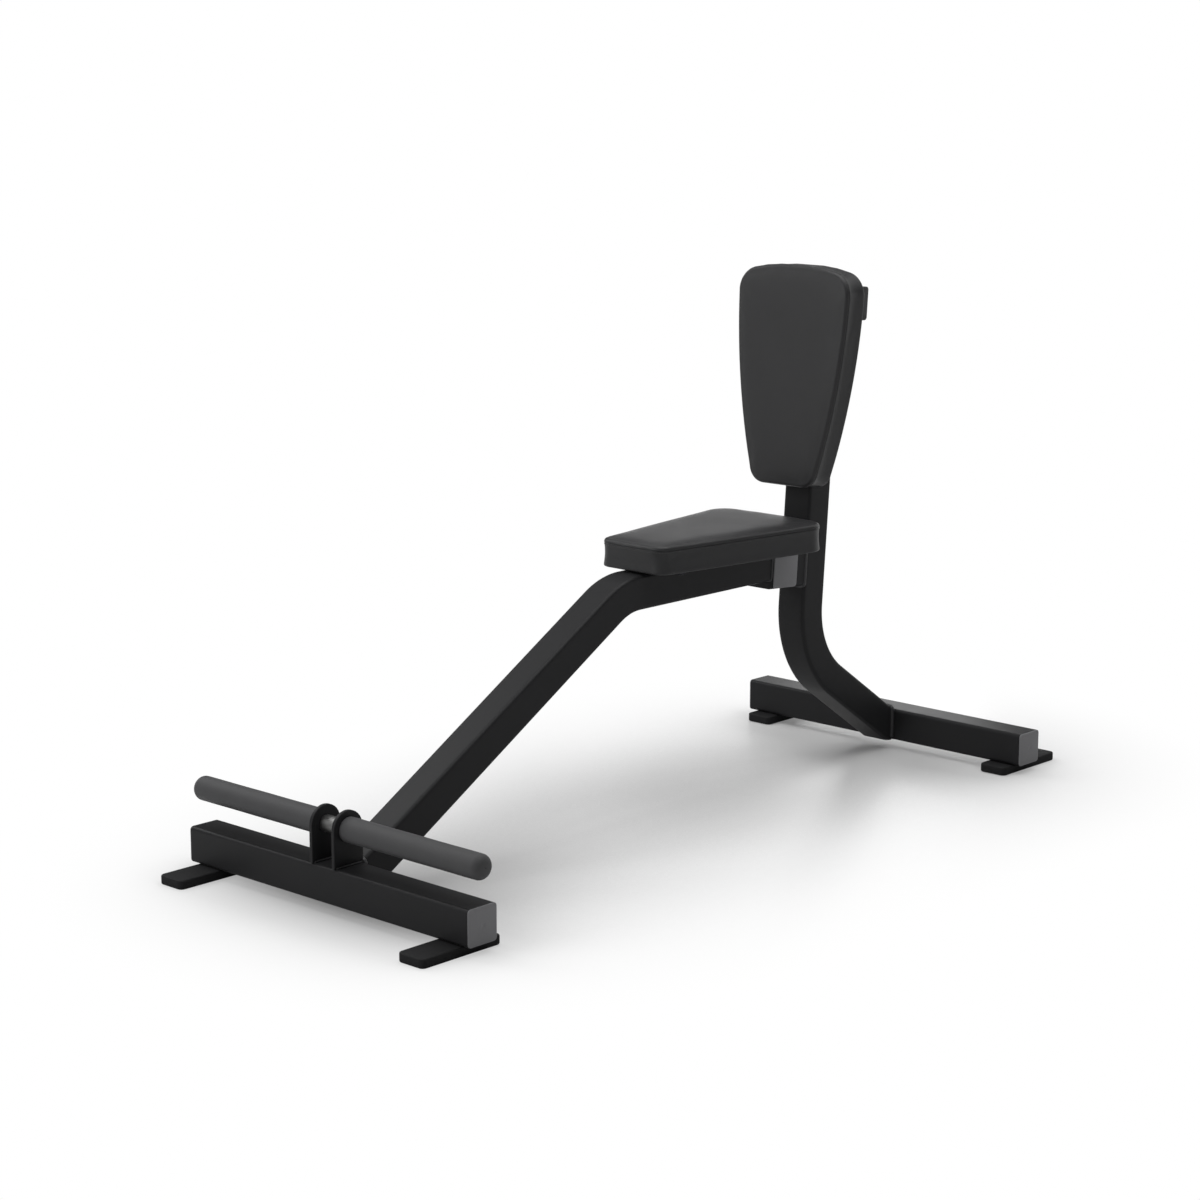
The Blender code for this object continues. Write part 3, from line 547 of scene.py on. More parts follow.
@made_once
def extruded_grip_foam(name):
    """Closed-cell nitrile foam, extruded and ground: dull, with fine open cells under 1 mm."""
    material, tree, shader, place = start_material(name, IOR=1.5, Specular_IOR_Level=0.2)
    cloud = add_node(tree, "ShaderNodeTexNoise", {"Vector": place, "Scale": 35.0, "Detail": 3.0})
    cells = add_node(tree, "ShaderNodeTexVoronoi", {"Vector": place, "Scale": 1100.0})
    vary(tree, shader, cloud.outputs["Fac"], colours().grip_foam, tones=(0.9, 1.12),
         gloss=(0.55, 0.66), relief=(cells.outputs["Distance"], 0.25, 0.0003))
    return material


@made_once
def embossed_vinyl(name):
    """Upholstery vinyl, calendered and embossed: soft sheen over a pebble grain 1.4 mm across."""
    material, tree, shader, place = start_material(name, IOR=1.5, Specular_IOR_Level=0.22)
    cloud = add_node(tree, "ShaderNodeTexNoise", {"Vector": place, "Scale": 18.0, "Detail": 3.0})
    pebbles = add_node(tree, "ShaderNodeTexVoronoi", {
        "Vector": place, "Scale": 700.0, "Randomness": 0.9,
    }, feature="DISTANCE_TO_EDGE")
    valley = add_node(tree, "ShaderNodeMapRange", {
        "Value": pebbles.outputs["Distance"], "From Min": 0.0, "From Max": 0.16,
    }, interpolation_type="SMOOTHSTEP")
    vary(tree, shader, cloud.outputs["Fac"], colours().vinyl, tones=(0.93, 1.07),
         gloss=(0.36, 0.46), relief=(valley.outputs["Result"], 0.22, 0.0002))
    return material


@made_once
def bonded_polyester_thread(name):
    """Bonded polyester sewing thread, slightly waxy; its twist is drawn coarse, 2 mm, to show."""
    material, tree, shader, place = start_material(name, IOR=1.5, Roughness=0.5)
    twist = add_node(tree, "ShaderNodeTexWave", {
        "Vector": place, "Scale": 300.0, "Distortion": 0.4,
    }, wave_type="BANDS", bands_direction="DIAGONAL")
    vary(tree, shader, twist.outputs["Fac"], colours().thread, tones=(0.7, 1.5),
         relief=(twist.outputs["Fac"], 0.3, 0.0002))
    return material


@made_once
def spunbond_backing(name):
    """Spunbond polypropylene cloth: dull black fibres laid at random, with a faint sheen."""
    material, tree, shader, place = start_material(
        name, IOR=1.49, Roughness=0.82, Specular_IOR_Level=0.25
    )
    fibres = add_node(tree, "ShaderNodeTexNoise", {
        "Vector": place, "Scale": 420.0, "Detail": 4.0, "Distortion": 2.5,
    })
    vary(tree, shader, fibres.outputs["Fac"], colours().backing, tones=(0.7, 1.5),
         relief=(fibres.outputs["Fac"], 0.3, 0.0003))
    return material


@made_once
def plated_bar_steel(name):
    """Drawn steel tube with a satin zinc plate: a soft shine, with drawing lines along the bar."""
    material, tree, shader, place = start_material(name, Metallic=1.0)
    stretch = add_node(tree, "ShaderNodeMapping", {"Vector": place, "Scale": (6.0, 900.0, 900.0)})
    lines = add_node(tree, "ShaderNodeTexNoise", {
        "Vector": stretch.outputs["Vector"], "Scale": 1.0, "Detail": 2.0,
    })
    vary(tree, shader, lines.outputs["Fac"], colours().steel, tones=(0.9, 1.05),
         gloss=(0.36, 0.48))
    return material


def zinc_plate(name, hex_value):
    """Zinc plate on cold-formed steel: slightly cloudy, with fine handling marks."""
    material, tree, shader, place = start_material(name, Metallic=1.0)
    cloud = add_node(tree, "ShaderNodeTexNoise", {"Vector": place, "Scale": 260.0, "Detail": 3.0})
    vary(tree, shader, cloud.outputs["Fac"], hex_value, tones=(0.8, 1.1), gloss=(0.28, 0.45))
    return material


@made_once
def bright_zinc_plate(name):
    """Clear-passivated zinc of the nuts, screws and staples: pale and silvery."""
    return zinc_plate(name, colours().zinc)


@made_once
def black_zinc_plate(name):
    """Black-passivated zinc of the bolts: dark, with a grey metal shine."""
    return zinc_plate(name, colours().black_zinc)


@made_once
def birch_plywood(name):
    """Rotary-cut birch plywood: pale brown, with long grain figure some 8 mm wide."""
    material, tree, shader, place = start_material(name, IOR=1.5)
    stretch = add_node(tree, "ShaderNodeMapping", {"Vector": place, "Scale": (120.0, 9.0, 120.0)})
    figure = add_node(tree, "ShaderNodeTexNoise", {
        "Vector": stretch.outputs["Vector"], "Scale": 1.0, "Detail": 5.0, "Distortion": 0.6,
    })
    vary(tree, shader, figure.outputs["Fac"], colours().plywood, tones=(0.72, 1.18),
         gloss=(0.75, 0.6), relief=(figure.outputs["Fac"], 0.15, 0.0003))
    return material


# Frame tubes


def powder_coated(obj, *nodes):
    """Paint a steel piece."""
    return dress(obj, satin_powder_coat(), "frame_paint", *nodes)


def straight_tube(name, outline, half, place):
    """Tube along own Z, closed at its ends: one outline at a few stations."""
    stations = np.linspace(-half, half, 9)
    grid = np.array([np.column_stack([outline, np.full(len(outline), z)]) for z in stations])
    return build(name, [(placed(grid, place), "fan")])


def bent_tube(name, start, bend, end, radius, planes):
    """Square tube bent once in the YZ plane, its ends cut by planes (point, normal).

    A point of the outline runs along the first straight, round the arc and along the second
    straight. In the bend, the wall inside the curve is dished and the one outside is flattened,
    by a squared sine from one end of the bend to the other. The lower end is also cut level
    with the beams' underside.
    """
    outline = rounded_rectangle(TUBE_SIDE, TUBE_SIDE, TUBE_CORNER, support=0.004)
    first = (bend - start).normalized()
    second = (end - bend).normalized()
    angle = first.angle(second)
    sense = 1 if first.cross(second).x > 0 else -1
    reach = radius * math.tan(angle / 2)
    bend_start = bend - first * reach
    quarter = Matrix.Rotation(sense * math.pi / 2, 3, "X")
    centre = bend_start + quarter @ first * radius
    steps = 33
    turns = np.linspace(0, sense * angle, steps)
    amount = np.sin(np.linspace(0, math.pi, steps)) ** 2
    inward = outline[:, 1] / HALF_TUBE
    middle = 1 - (outline[:, 0] / HALF_TUBE) ** 2
    dish = sizes().bend_dish
    push = np.where(inward > BEND_WALL, -dish * middle, 0)
    push = push + np.where(inward < -BEND_WALL, BEND_FLATTENING * dish * middle, 0)
    arc = []
    for turn, share in zip(turns, amount):
        spin = Matrix.Rotation(turn, 3, "X")
        towards = np.array(spin @ quarter @ first)
        origin = np.array(centre) - towards * radius
        side = outline[:, 1] + push * share
        arc.append(origin + outline[:, :1] * np.array(ACROSS) + side[:, None] * towards)
    arc = np.array(arc)
    # The stations of a straight lie closer together near its cut
    shares = np.concatenate([np.linspace(0, 0.9, 8)[1:], np.linspace(0.9, 1, 13)[1:]])
    ends = ((arc[0], -first, planes[0]), (arc[-1], second, planes[1]))
    runs = []
    for ring, direction, (point, normal) in ends:
        direction = np.array(direction)
        normal = np.array(normal)
        reach_out = ((np.array(point) - ring) @ normal) / (direction @ normal)
        runs.append(ring + shares[:, None, None] * reach_out[:, None] * direction)
    grid = np.concatenate([runs[0][::-1], arc, runs[1]])
    grid[:, :, 2] = np.maximum(grid[:, :, 2], BEAM_BOTTOM + TOUCH)
    return build(name, [(grid, "fan")]), grid


def lay_weld(name, paths, share=1.0, closed=False, coat=weld_coat_painted_highlight):
    """Painted weld beads along paths: a round section whose radius steps with each ripple.

    Its radius is a share of the bench's weld radius. The ripples lag behind at the bead's foot,
    so they look like overlapping coins, and the radius drops towards both ends of an open path.
    The section's own side is square to the path and to one steady direction: up where the path
    lies flat, and the bench's length where it stands.
    """
    radius = sizes().weld_radius * share
    pitch = sizes().weld_pitch
    per_ripple, lag, least, growth = 5, 0.22, 0.92, 0.16
    angles = round_angles(14)
    parts = []
    for path in paths:
        count = int(length_of(path) / pitch * per_ripple)
        line = resampled(np.asarray(path, float), count, closed)
        ahead = tangents(line)
        if not closed:
            ahead[0], ahead[-1] = unit(line[1] - line[0]), unit(line[-1] - line[-2])
        lies_flat = np.ptp(line[:, 2]) < np.ptp(line[:, 1])
        side = unit(np.cross(ahead, (0, 0, 1.0) if lies_flat else (0, 1.0, 0)))
        other = np.cross(ahead, side)
        at = np.arange(len(line))[:, None] / per_ripple
        ripple = (at + lag * np.cos(angles)[None]) % 1.0
        grown = radius * (least + growth * (1 - (1 - ripple) ** 2))
        if not closed:
            edge = np.minimum(at, at[::-1]) * pitch / radius
            grown = grown * np.sqrt(np.clip(1 - (1 - np.clip(edge, 0.02, 1)) ** 2, 0, 1))
        ring = np.cos(angles)[None, :, None] * side[:, None]
        ring = ring + np.sin(angles)[None, :, None] * other[:, None]
        parts.append((line[:, None] + grown[:, :, None] * ring, "ring" if closed else "fan"))
    # Unless another coat is given, the bead takes the weld coat, whose colour is lightened as a
    # painted highlight
    dress(build(name, parts, sharp=70), coat(), "frame_paint")


def plate(name, outline, low, high, place):
    """Flat plate with slightly broken edges."""
    return block(name, outline, block_levels(low, high, PLATE_EDGE, 3), place)


def ring_path(row, outward, lift):
    """Path round a tube's end, a little outside it and lifted off the face it meets."""
    return row + unit(row - row.mean(0)) * outward + np.asarray(lift)


class BENCH_OT_frame_tubes(bpy.types.Operator):
    """Make the painted steel tubes and plates, with dished bends and soft corners."""

    bl_idname = "bench.frame_tubes"
    bl_label = "Frame tubes"

    def execute(self, context):
        square = rounded_rectangle(TUBE_SIDE, TUBE_SIDE, TUBE_CORNER)
        for label, y in BEAMS:
            beam = straight_tube(label + "_beam_tube", square, HALF_BEAM,
                                 end_frame(0, y, BEAM_MIDDLE, 1))
            powder_coated(beam, label + "_beam")
        bar = straight_tube("crossbar_tube", square, CROSSBAR_LENGTH / 2,
                            lean_frame(CROSSBAR_CLIMB, 0) @ Matrix.Rotation(math.pi / 2, 4, "Y"))
        powder_coated(bar, "crossbar")
        oblong = rounded_rectangle(TUBE_SIDE, STUB_HEIGHT, STUB_CORNER)
        stub = straight_tube("junction_stub_tube", oblong, STUB_LENGTH / 2,
                             lean_frame(STUB_CLIMB, HALF_TUBE + TOUCH + STUB_LENGTH / 2))
        powder_coated(stub, "junction_stub")
        outline = rounded_rectangle(TUBE_SIDE, STUB_HEIGHT, STUB_CORNER, steps=5)
        end_plate = plate("junction_end_plate", outline, -PLATE_THICKNESS, 0,
                          lean_frame(STUB_CLIMB, PLATE_FRONT))
        powder_coated(end_plate, "junction_plate")
        self.bent_tubes()
        self.seat_plates()
        return {"FINISHED"}

    def bent_tubes(self):
        """Main tube and upright, with a bead round each end that shows.

        A bead at a foot runs from the bottom of one side over the top to the other: its points
        are sorted by their angle from straight up.
        """
        plate_face = KNEE + UP * STUB_CLIMB + FORWARD * (PLATE_FRONT + TOUCH)
        front_face = Vector((0, FRONT_Y + HALF_TUBE + TOUCH, 0))
        start = Vector((0, FRONT_Y + HALF_TUBE, MAIN_FOOT_HEIGHT))
        bend = Vector((0, MAIN_BEND_Y, SEAT_TUBE_HEIGHT))
        end = Vector((0, plate_face.y, SEAT_TUBE_HEIGHT))
        main, main_grid = bent_tube("main_tube_bent", start, bend, end, MAIN_BEND_RADIUS,
                                    ((front_face, (0, 1, 0)), (plate_face, FORWARD)))
        powder_coated(main, "main_tube")
        rear_face = Vector((0, REAR_Y - HALF_TUBE - TOUCH, 0))
        start = Vector((0, REAR_Y - HALF_TUBE, UPRIGHT_FOOT_HEIGHT))
        top = KNEE + UP * (CROSSBAR_CLIMB - HALF_TUBE - TOUCH)
        upright, upright_grid = bent_tube("upright_bent", start, KNEE, top, UPRIGHT_BEND_RADIUS,
                                          ((rear_face, (0, 1, 0)), (top, UP)))
        powder_coated(upright, "upright")
        for name, row, lift in (
            ("weld_main_front", main_grid[0], WELD_LIFT),
            ("weld_upright_rear", upright_grid[0], -WELD_LIFT),
        ):
            path = resampled(ring_path(row, WELD_OUT, (0, lift, 0)), 240)
            path = path[np.argsort(np.arctan2(path[:, 0], path[:, 2] - path[:, 2].mean()))]
            lay_weld(name, [path[path[:, 2] > BEAM_BOTTOM + WELD_FOOT]])
        path = ring_path(main_grid[-1], 0.0, np.array(FORWARD) * WELD_LIFT)
        lay_weld("weld_main_plate", [path], 0.42, closed=True)

    def seat_plates(self):
        """Cross plates, with a bead along each side of the main tube, tucked under the plate."""
        tuck, drop, short = 0.0022, 0.0020, 0.004
        for label in ("front", "rear"):
            low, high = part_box("seat_plate_" + label)
            outline = rounded_rectangle(high.x - low.x, high.y - low.y, SEAT_PLATE_CORNER, steps=5)
            piece = plate("seat_cross_plate_" + label, outline, low.z, high.z,
                          Matrix.Translation((0, (low.y + high.y) / 2, 0)))
            powder_coated(piece, "seat_plate_" + label)
            x, z = HALF_TUBE - tuck, low.z - drop
            beads = [np.array([(sign * x, low.y + short, z), (sign * x, high.y - short, z)])
                     for _, sign in SIDES]
            lay_weld("weld_seat_plate_" + label, beads, 0.6)


class BENCH_OT_joint_welds(bpy.types.Operator):
    """Lay weld beads where the stub and the crossbar meet the upright."""

    bl_idname = "bench.joint_welds"
    bl_label = "Joint welds"

    def execute(self, context):
        narrower, taller, sunk = 0.002, 0.001, 0.0004
        outline = rounded_rectangle(TUBE_SIDE - narrower, STUB_HEIGHT + taller, STUB_CORNER)
        ring = np.column_stack([outline, np.zeros(len(outline))])
        path = placed(ring, lean_frame(STUB_CLIMB, HALF_TUBE - sunk))
        lay_weld("weld_stub", [path], 0.75, closed=True)
        short, proud, sunk, turn, drop = 0.006, 0.0002, 0.0012, 0.004, 0.0010
        depth, side, back = HALF_TUBE - short, HALF_TUBE + proud, -HALF_TUBE + sunk
        half = [(side, depth), (side, back + turn), (side - turn, back)]
        corners = half + [(-x, forward) for x, forward in reversed(half)]
        under = CROSSBAR_CLIMB - HALF_TUBE - drop
        path = [KNEE + UP * under + FORWARD * forward + ACROSS * x for x, forward in corners]
        lay_weld("weld_crossbar", [np.array([tuple(point) for point in path])], 0.7)
        return {"FINISHED"}


# Caps, feet and footrest


class BENCH_OT_end_caps(bpy.types.Operator):
    """Make the moulded caps in the tubes' ends and the covers on the junction's sides."""

    bl_idname = "bench.end_caps"
    bl_label = "End caps"

    def execute(self, context):
        plastic = moulded_cap_plastic()
        for label, y in BEAMS:
            for side, sign in SIDES:
                place = end_frame(sign * HALF_BEAM, y, BEAM_MIDDLE, sign)
                cap = self.cap(f"cap_{label}_{side}", place)
                dress(cap, plastic, "end_cap_plastic", f"beam_cap_{label}_{side}")
        for side, sign in SIDES:
            turn = Matrix.Rotation(sign * math.pi / 2, 4, "Y")
            end = Matrix.Translation((sign * CROSSBAR_LENGTH / 2, 0, 0))
            cap = self.cap("cap_crossbar_" + side, lean_frame(CROSSBAR_CLIMB, 0) @ end @ turn)
            dress(cap, moulded_black_plastic(), "end_cap_plastic", "crossbar_cap_" + side)
            self.side_cover("cover_junction_" + side, sign, plastic)
        return {"FINISHED"}

    def side_cover(self, name, sign, plastic):
        """Cover: a shallow plate with rounded corners and edges, clipped on the stub's side."""
        outline = rounded_rectangle(COVER_LENGTH, COVER_HEIGHT, COVER_CORNER)
        levels = [(0, 1, TOUCH), *rounded_head(COVER_EDGE, COVER_THICKNESS, 4)]
        levels += [(COVER_EDGE, share, COVER_THICKNESS) for share in (0.9, 0.6, 0.3, 0.05)]
        middle = lean_frame(STUB_CLIMB, HALF_TUBE + TOUCH + STUB_LENGTH - COVER_LENGTH / 2 - TOUCH)
        turn = Matrix(((0, 0, sign), (0, 1, 0), (-sign, 0, 0))).to_4x4()
        place = middle @ Matrix.Translation((sign * HALF_TUBE, 0, 0)) @ turn
        dress(block(name, outline, levels, place), plastic, "end_cap_plastic")

    def cap(self, name, place):
        """Cap: plug, plate with a rounded rim, low dome, and a shallow gate mark in the middle.

        The dome falls off with the square of the distance from the middle.
        """
        outline = rounded_rectangle(TUBE_SIDE, TUBE_SIDE, TUBE_CORNER)
        dome = sizes().cap_dome
        face = CAP_PLATE - dome + TOUCH
        levels = [(PLUG_INSET, 1, -PLUG_DEPTH), (PLUG_INSET, 1, TOUCH)]
        levels += [(CAP_UNDERCUT, 1, TOUCH), (0, 1, TOUCH + CAP_UNDERCUT)]
        levels += rounded_head(CAP_RIM, face, 5)
        for share in (0.97, 0.9, 0.75, 0.5, 0.25, 0.08):
            levels.append((CAP_RIM, share, face + dome * (1 - share ** 2)))
        for share, left in ((0.06, 0.75), (0.01, 0.7)):
            levels.append((CAP_RIM, share, face + dome * left))
        return block(name, outline, levels, place)


class BENCH_OT_feet(bpy.types.Operator):
    """Make the rubber feet, with wells for their screws."""

    bl_idname = "bench.feet"
    bl_label = "Feet"

    def execute(self, context):
        outline = rounded_rectangle(FOOT_WIDTH, FOOT_LENGTH, FOOT_CORNER)
        levels = block_levels(0, FOOT_THICKNESS, FOOT_EDGE, 5)
        below_floor = 0.01
        for label in ("front_left", "front_right", "rear_left", "rear_right"):
            low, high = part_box("foot_" + label)
            middle = (low + high) / 2
            place = Matrix.Translation((middle.x, middle.y, 0))
            foot = block("rubber_foot_" + label, outline, levels, place)
            wells = []
            for number in (1, 2):
                screw_low, screw_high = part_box(f"foot_screw_{label}_{number}")
                centre = (screw_low + screw_high) / 2
                profile = [(SCREW_WELL / 2, -below_floor), (SCREW_WELL / 2, SCREW_WELL_DEPTH)]
                well = turned(profile, 32) + (centre.x, centre.y, 0)
                wells.append(build("well", [(well, "fan")]))
            self.drill(foot, wells)
            dress(foot, moulded_foot_rubber(), "foot_rubber", "foot_" + label)
        return {"FINISHED"}

    def drill(self, foot, wells):
        """Cut the wells out of a foot, and take the cutters away."""
        for well in wells:
            cut = foot.modifiers.new("well", "BOOLEAN")
            cut.object = well
            cut.operation = "DIFFERENCE"
            cut.solver = "EXACT"
        graph = bpy.context.evaluated_depsgraph_get()
        drilled = bpy.data.meshes.new_from_object(foot.evaluated_get(graph))
        foot.modifiers.clear()
        foot.data = drilled
        for well in wells:
            bpy.data.objects.remove(well, do_unlink=True)
        drilled.shade_smooth()
        drilled.set_sharp_from_angle(angle=math.radians(SHARP))


class BENCH_OT_footrest(bpy.types.Operator):
    """Make the ears, the plated bar through them and the foam grips."""

    bl_idname = "bench.footrest"
    bl_label = "Footrest"

    def execute(self, context):
        low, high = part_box("footrest_bar")
        radius = (high.z - low.z) / 2
        half = (high.x - low.x) / 2
        profile = [(radius - BAR_WALL, -half), (radius, -half)]
        profile += [(radius, half), (radius - BAR_WALL, half)]
        place = end_frame(0, FRONT_Y, BAR_HEIGHT, 1)
        bar = build("footrest_bar_plated", [(placed(turned(profile, 64), place), "ring")])
        dress(bar, plated_bar_steel(), "bare_steel", "footrest_bar")
        for side, sign in SIDES:
            self.ear(side, radius)
            self.grip(side, sign, radius, half)
        return {"FINISHED"}

    def ear(self, side, bar_radius):
        """Ear: a rounded section carried round the bar's hole, out to the ear's outline.

        The outline lies a ray's length from the hole's centre: half the width above and beside
        it, and the distance to the beam below. A row of the section is (share of the way in to
        the hole, inset, place across the ear).
        """
        low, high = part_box("footrest_ear_" + side)
        half_width = (high.y - low.y) / 2
        drop = BAR_HEIGHT - low.z
        corner = math.atan2(drop, half_width)
        below = np.linspace(-math.pi + corner, -corner, 17)
        beside = np.linspace(-corner, 0, 9)[1:]
        above = np.linspace(0, math.pi, 49)[1:]
        beside_left = np.linspace(math.pi, math.pi + corner, 9)[1:-1]
        angles = np.concatenate([below, beside, above, beside_left])
        sine, cosine = np.sin(angles), np.cos(angles)
        reach = np.full(len(angles), half_width)
        down = sine < -1e-9
        to_side = half_width / np.maximum(np.abs(cosine[down]), 1e-6)
        reach[down] = np.minimum(drop / -sine[down], to_side)
        hole = bar_radius + TOUCH
        half = (high.x - low.x) / 2
        rows = [(0, step, across) for step, _, across in block_levels(-half, half, EAR_EDGE, 3)]
        rows += [(inwards, EAR_EDGE, half) for inwards in (0.25, 0.5, 0.75)]
        rows += [(1, 0, half), (1, 0, -half)]
        rows += [(inwards, EAR_EDGE, -half) for inwards in (0.75, 0.5, 0.25)]
        grid = []
        for inwards, step, across in rows:
            radius = (reach - step) * (1 - inwards) + hole * inwards
            beside_bar = np.full(len(angles), across)
            grid.append(np.column_stack([beside_bar, cosine * radius, sine * radius]))
        grid = np.array(grid) + ((low.x + high.x) / 2, FRONT_Y, BAR_HEIGHT)
        grid[:, :, 2] = np.maximum(grid[:, :, 2], low.z)
        powder_coated(build("ear_" + side, [(grid, "ring")]), "footrest_ear_" + side)
        short, lift = 0.003, 0.0008
        run = half_width - short
        height = BEAM_TOP + lift
        beads = [np.array([(x, FRONT_Y - run, height), (x, FRONT_Y + run, height)])
                 for x in (low.x - WELD_LIFT, high.x + WELD_LIFT)]
        lay_weld("weld_ear_" + side, beads, 0.5, coat=satin_powder_coat)

    def grip(self, side, sign, bar_radius, half_bar):
        """Grip: a sleeve turned round the bar, softly flared at its inner end, closed outside.

        Its radius rises and falls by a few thousandths with the cosine of the place along it.
        """
        low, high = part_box("grip_" + side)
        radius = (high.z - low.z) / 2
        start, end = sorted((abs(low.x), abs(high.x)))
        bore = bar_radius + TOUCH
        lip, rounding, tip = GRIP_LIP, GRIP_END, 0.0008
        unevenness, wave = 0.004, 0.017
        profile = [(bore, start + lip)]
        profile += arc_points((bore + lip, start + lip), lip, 180, 270, 4)
        profile += arc_points((radius - lip, start + lip), lip, -90, 0, 4)
        stations = np.linspace(start + 2 * lip, end - rounding, 30)
        rings = radius * (1 - unevenness * (1 + np.cos(stations / wave)))
        profile += list(zip(rings, stations))
        profile += arc_points((radius - rounding, end - rounding), rounding, 0, 84, 10)[1:]
        profile.append((tip, end))
        cut = half_bar + TOUCH
        profile += [(tip, cut), (bore, cut), (bore, start + lip)]
        place = end_frame(0, FRONT_Y, BAR_HEIGHT, sign)
        grip = build("foam_grip_" + side, [(placed(turned(profile, 64), place), "ring")])
        dress(grip, extruded_grip_foam(), "grip_rubber", "grip_" + side)


# Upholstery


def smooth_polygon(corners, steps=14):
    """Outline whose corners (x, y, radius) are rounded by arcs; radius 0 is a plain point."""
    points = []
    count = len(corners)
    for index, (x, y, radius) in enumerate(corners):
        corner = Vector((x, y))
        if radius == 0:
            points.append(tuple(corner))
            continue
        before = (Vector(corners[index - 1][:2]) - corner).normalized()
        after = (Vector(corners[(index + 1) % count][:2]) - corner).normalized()
        opening = before.angle(after)
        middle = (before + after).normalized()
        centre = corner + middle * (radius / math.sin(opening / 2))
        first = corner + before * (radius / math.tan(opening / 2)) - centre
        sign = 1 if before.cross(after) < 0 else -1
        for turn in np.linspace(0, sign * (math.pi - opening), steps + 1):
            points.append(tuple(centre + Matrix.Rotation(turn, 2) @ first))
    return np.array(points)


def pad_outline(pad, count):
    """Tapered outline: half width is a quadratic in the distance from the narrow edge."""
    narrow, middle, wide = pad["widths"]
    run = pad["length"]
    bow = pad["bow"]
    right = [(narrow / 4, 0, 0), (narrow / 2, 0, pad["corners"][0])]
    for share in np.linspace(0.15, 0.85, 15):
        width = narrow * (1 - share) * (1 - 2 * share) + wide * share * (2 * share - 1)
        width += 4 * middle * share * (1 - share)
        right.append((width / 2, share * run, 0))
    right.append((wide / 2, run - bow, pad["corners"][1]))
    right += [(wide / 2 * s, run - bow * s ** 2, 0) for s in (0.5, 0.25)]
    left = [(-x, y, radius) for x, y, radius in reversed(right)]
    return resampled(smooth_polygon(right + left), count)


def pad_levels(thickness, fine, seam):
    """Levels of a pad from its underside up: hem, drawn-in side, seam, rounded edge, crown.

    The hem and the edge are quarter circles, the side is drawn in by a sine, the seam is a bell
    curve cut into a wider, shallower swelling, and the crown falls off with a high power of the
    share of the way out.
    """
    edge, crown, waist = sizes().cushion_edge, sizes().cushion_crown, sizes().cushion_waist
    sunk, raised, gap = 0.00012, 0.0004, 0.0005
    middle, board_edge, border = 0.022, 0.016, 0.008
    groove_width, swelling_width, swelling = 0.0007, 0.0028, 0.35
    side = thickness - edge
    levels = [(middle, 1, raised), (board_edge, 1, raised)]
    levels += [(board_edge - gap, 1, -sunk), (border, 1, -sunk)]
    for angle in np.linspace(0, math.pi / 2, 6):
        height = HEM * (1 - math.cos(angle)) - sunk * math.cos(angle)
        levels.append((HEM * (1 - math.sin(angle)), 1, height))
    heights = np.linspace(HEM, side, fine)[1:]
    seam_at = side - SEAM_DROP
    if seam:
        near = seam_at + np.array([-3, -2, -1.2, -0.6, -0.25, 0, 0.25, 0.6, 1.2]) * 0.001
        heights = np.unique(np.concatenate([heights[heights < near[0] - gap], near]))
    for height in heights:
        groove = seam * math.exp(-((height - seam_at) / groove_width) ** 2)
        puff = -swelling * seam * math.exp(-((height - seam_at) / swelling_width) ** 2)
        drawn = waist * math.sin(math.pi * min(1, (height - HEM) / (side - HEM)))
        levels.append((drawn + groove + puff, 1, height))
    first = 2 if seam else 1
    for angle in np.linspace(0, math.radians(86), 12)[first:]:
        levels.append((edge * (1 - math.cos(angle)), 1, side + edge * math.sin(angle)))
    rim = levels[-1][2]
    for share in np.concatenate([[0.985, 0.96], np.linspace(0.92, 0.04, 14)]):
        levels.append((edge, share, rim + crown * (1 - share ** CROWN_FLATNESS)))
    return levels


def points_of(mesh):
    """The points of a mesh as an array."""
    flat = np.empty(len(mesh.vertices) * 3)
    mesh.vertices.foreach_get("co", flat)
    return flat.reshape(-1, 3)


def puffed(outline, thickness, frames=20):
    """Blow up a slightly smaller pad as cloth and return its points before and after.

    The pad is remeshed at 5 mm, its underside is pinned, and pressure works on the rest.
    """
    narrower, flatter, pinned_below = 0.0012, 0.985, 0.008
    levels = [(distance + narrower, share, height * flatter)
              for distance, share, height in pad_levels(thickness, 8, 0)[4:]]
    body = build("pad_blank", [(stacked(outline, levels), "fan")])
    remesh = body.modifiers.new("remesh", "REMESH")
    remesh.mode = "VOXEL"
    remesh.voxel_size = 0.005
    graph = bpy.context.evaluated_depsgraph_get()
    mesh = bpy.data.meshes.new_from_object(body.evaluated_get(graph))
    bpy.data.objects.remove(body, do_unlink=True)
    body = add_object("pad_cloth", mesh)
    rest = points_of(mesh)
    pin = body.vertex_groups.new(name="pin")
    pin.add(np.nonzero(rest[:, 2] < pinned_below)[0].tolist(), 1.0, "REPLACE")
    cloth = body.modifiers.new("cloth", "CLOTH")
    cloth.settings.use_pressure = True
    cloth.settings.uniform_pressure_force = 4.0
    cloth.settings.vertex_group_mass = "pin"
    cloth.settings.tension_stiffness = 25
    cloth.settings.compression_stiffness = 25
    cloth.settings.bending_stiffness = 2
    cloth.settings.effector_weights.gravity = 0.0
    scene = bpy.context.scene
    for number in range(1, frames + 1):
        scene.frame_set(number)
    graph = bpy.context.evaluated_depsgraph_get()
    moved = points_of(body.evaluated_get(graph).data)
    bpy.data.objects.remove(body, do_unlink=True)
    scene.frame_set(1)
    return rest, moved


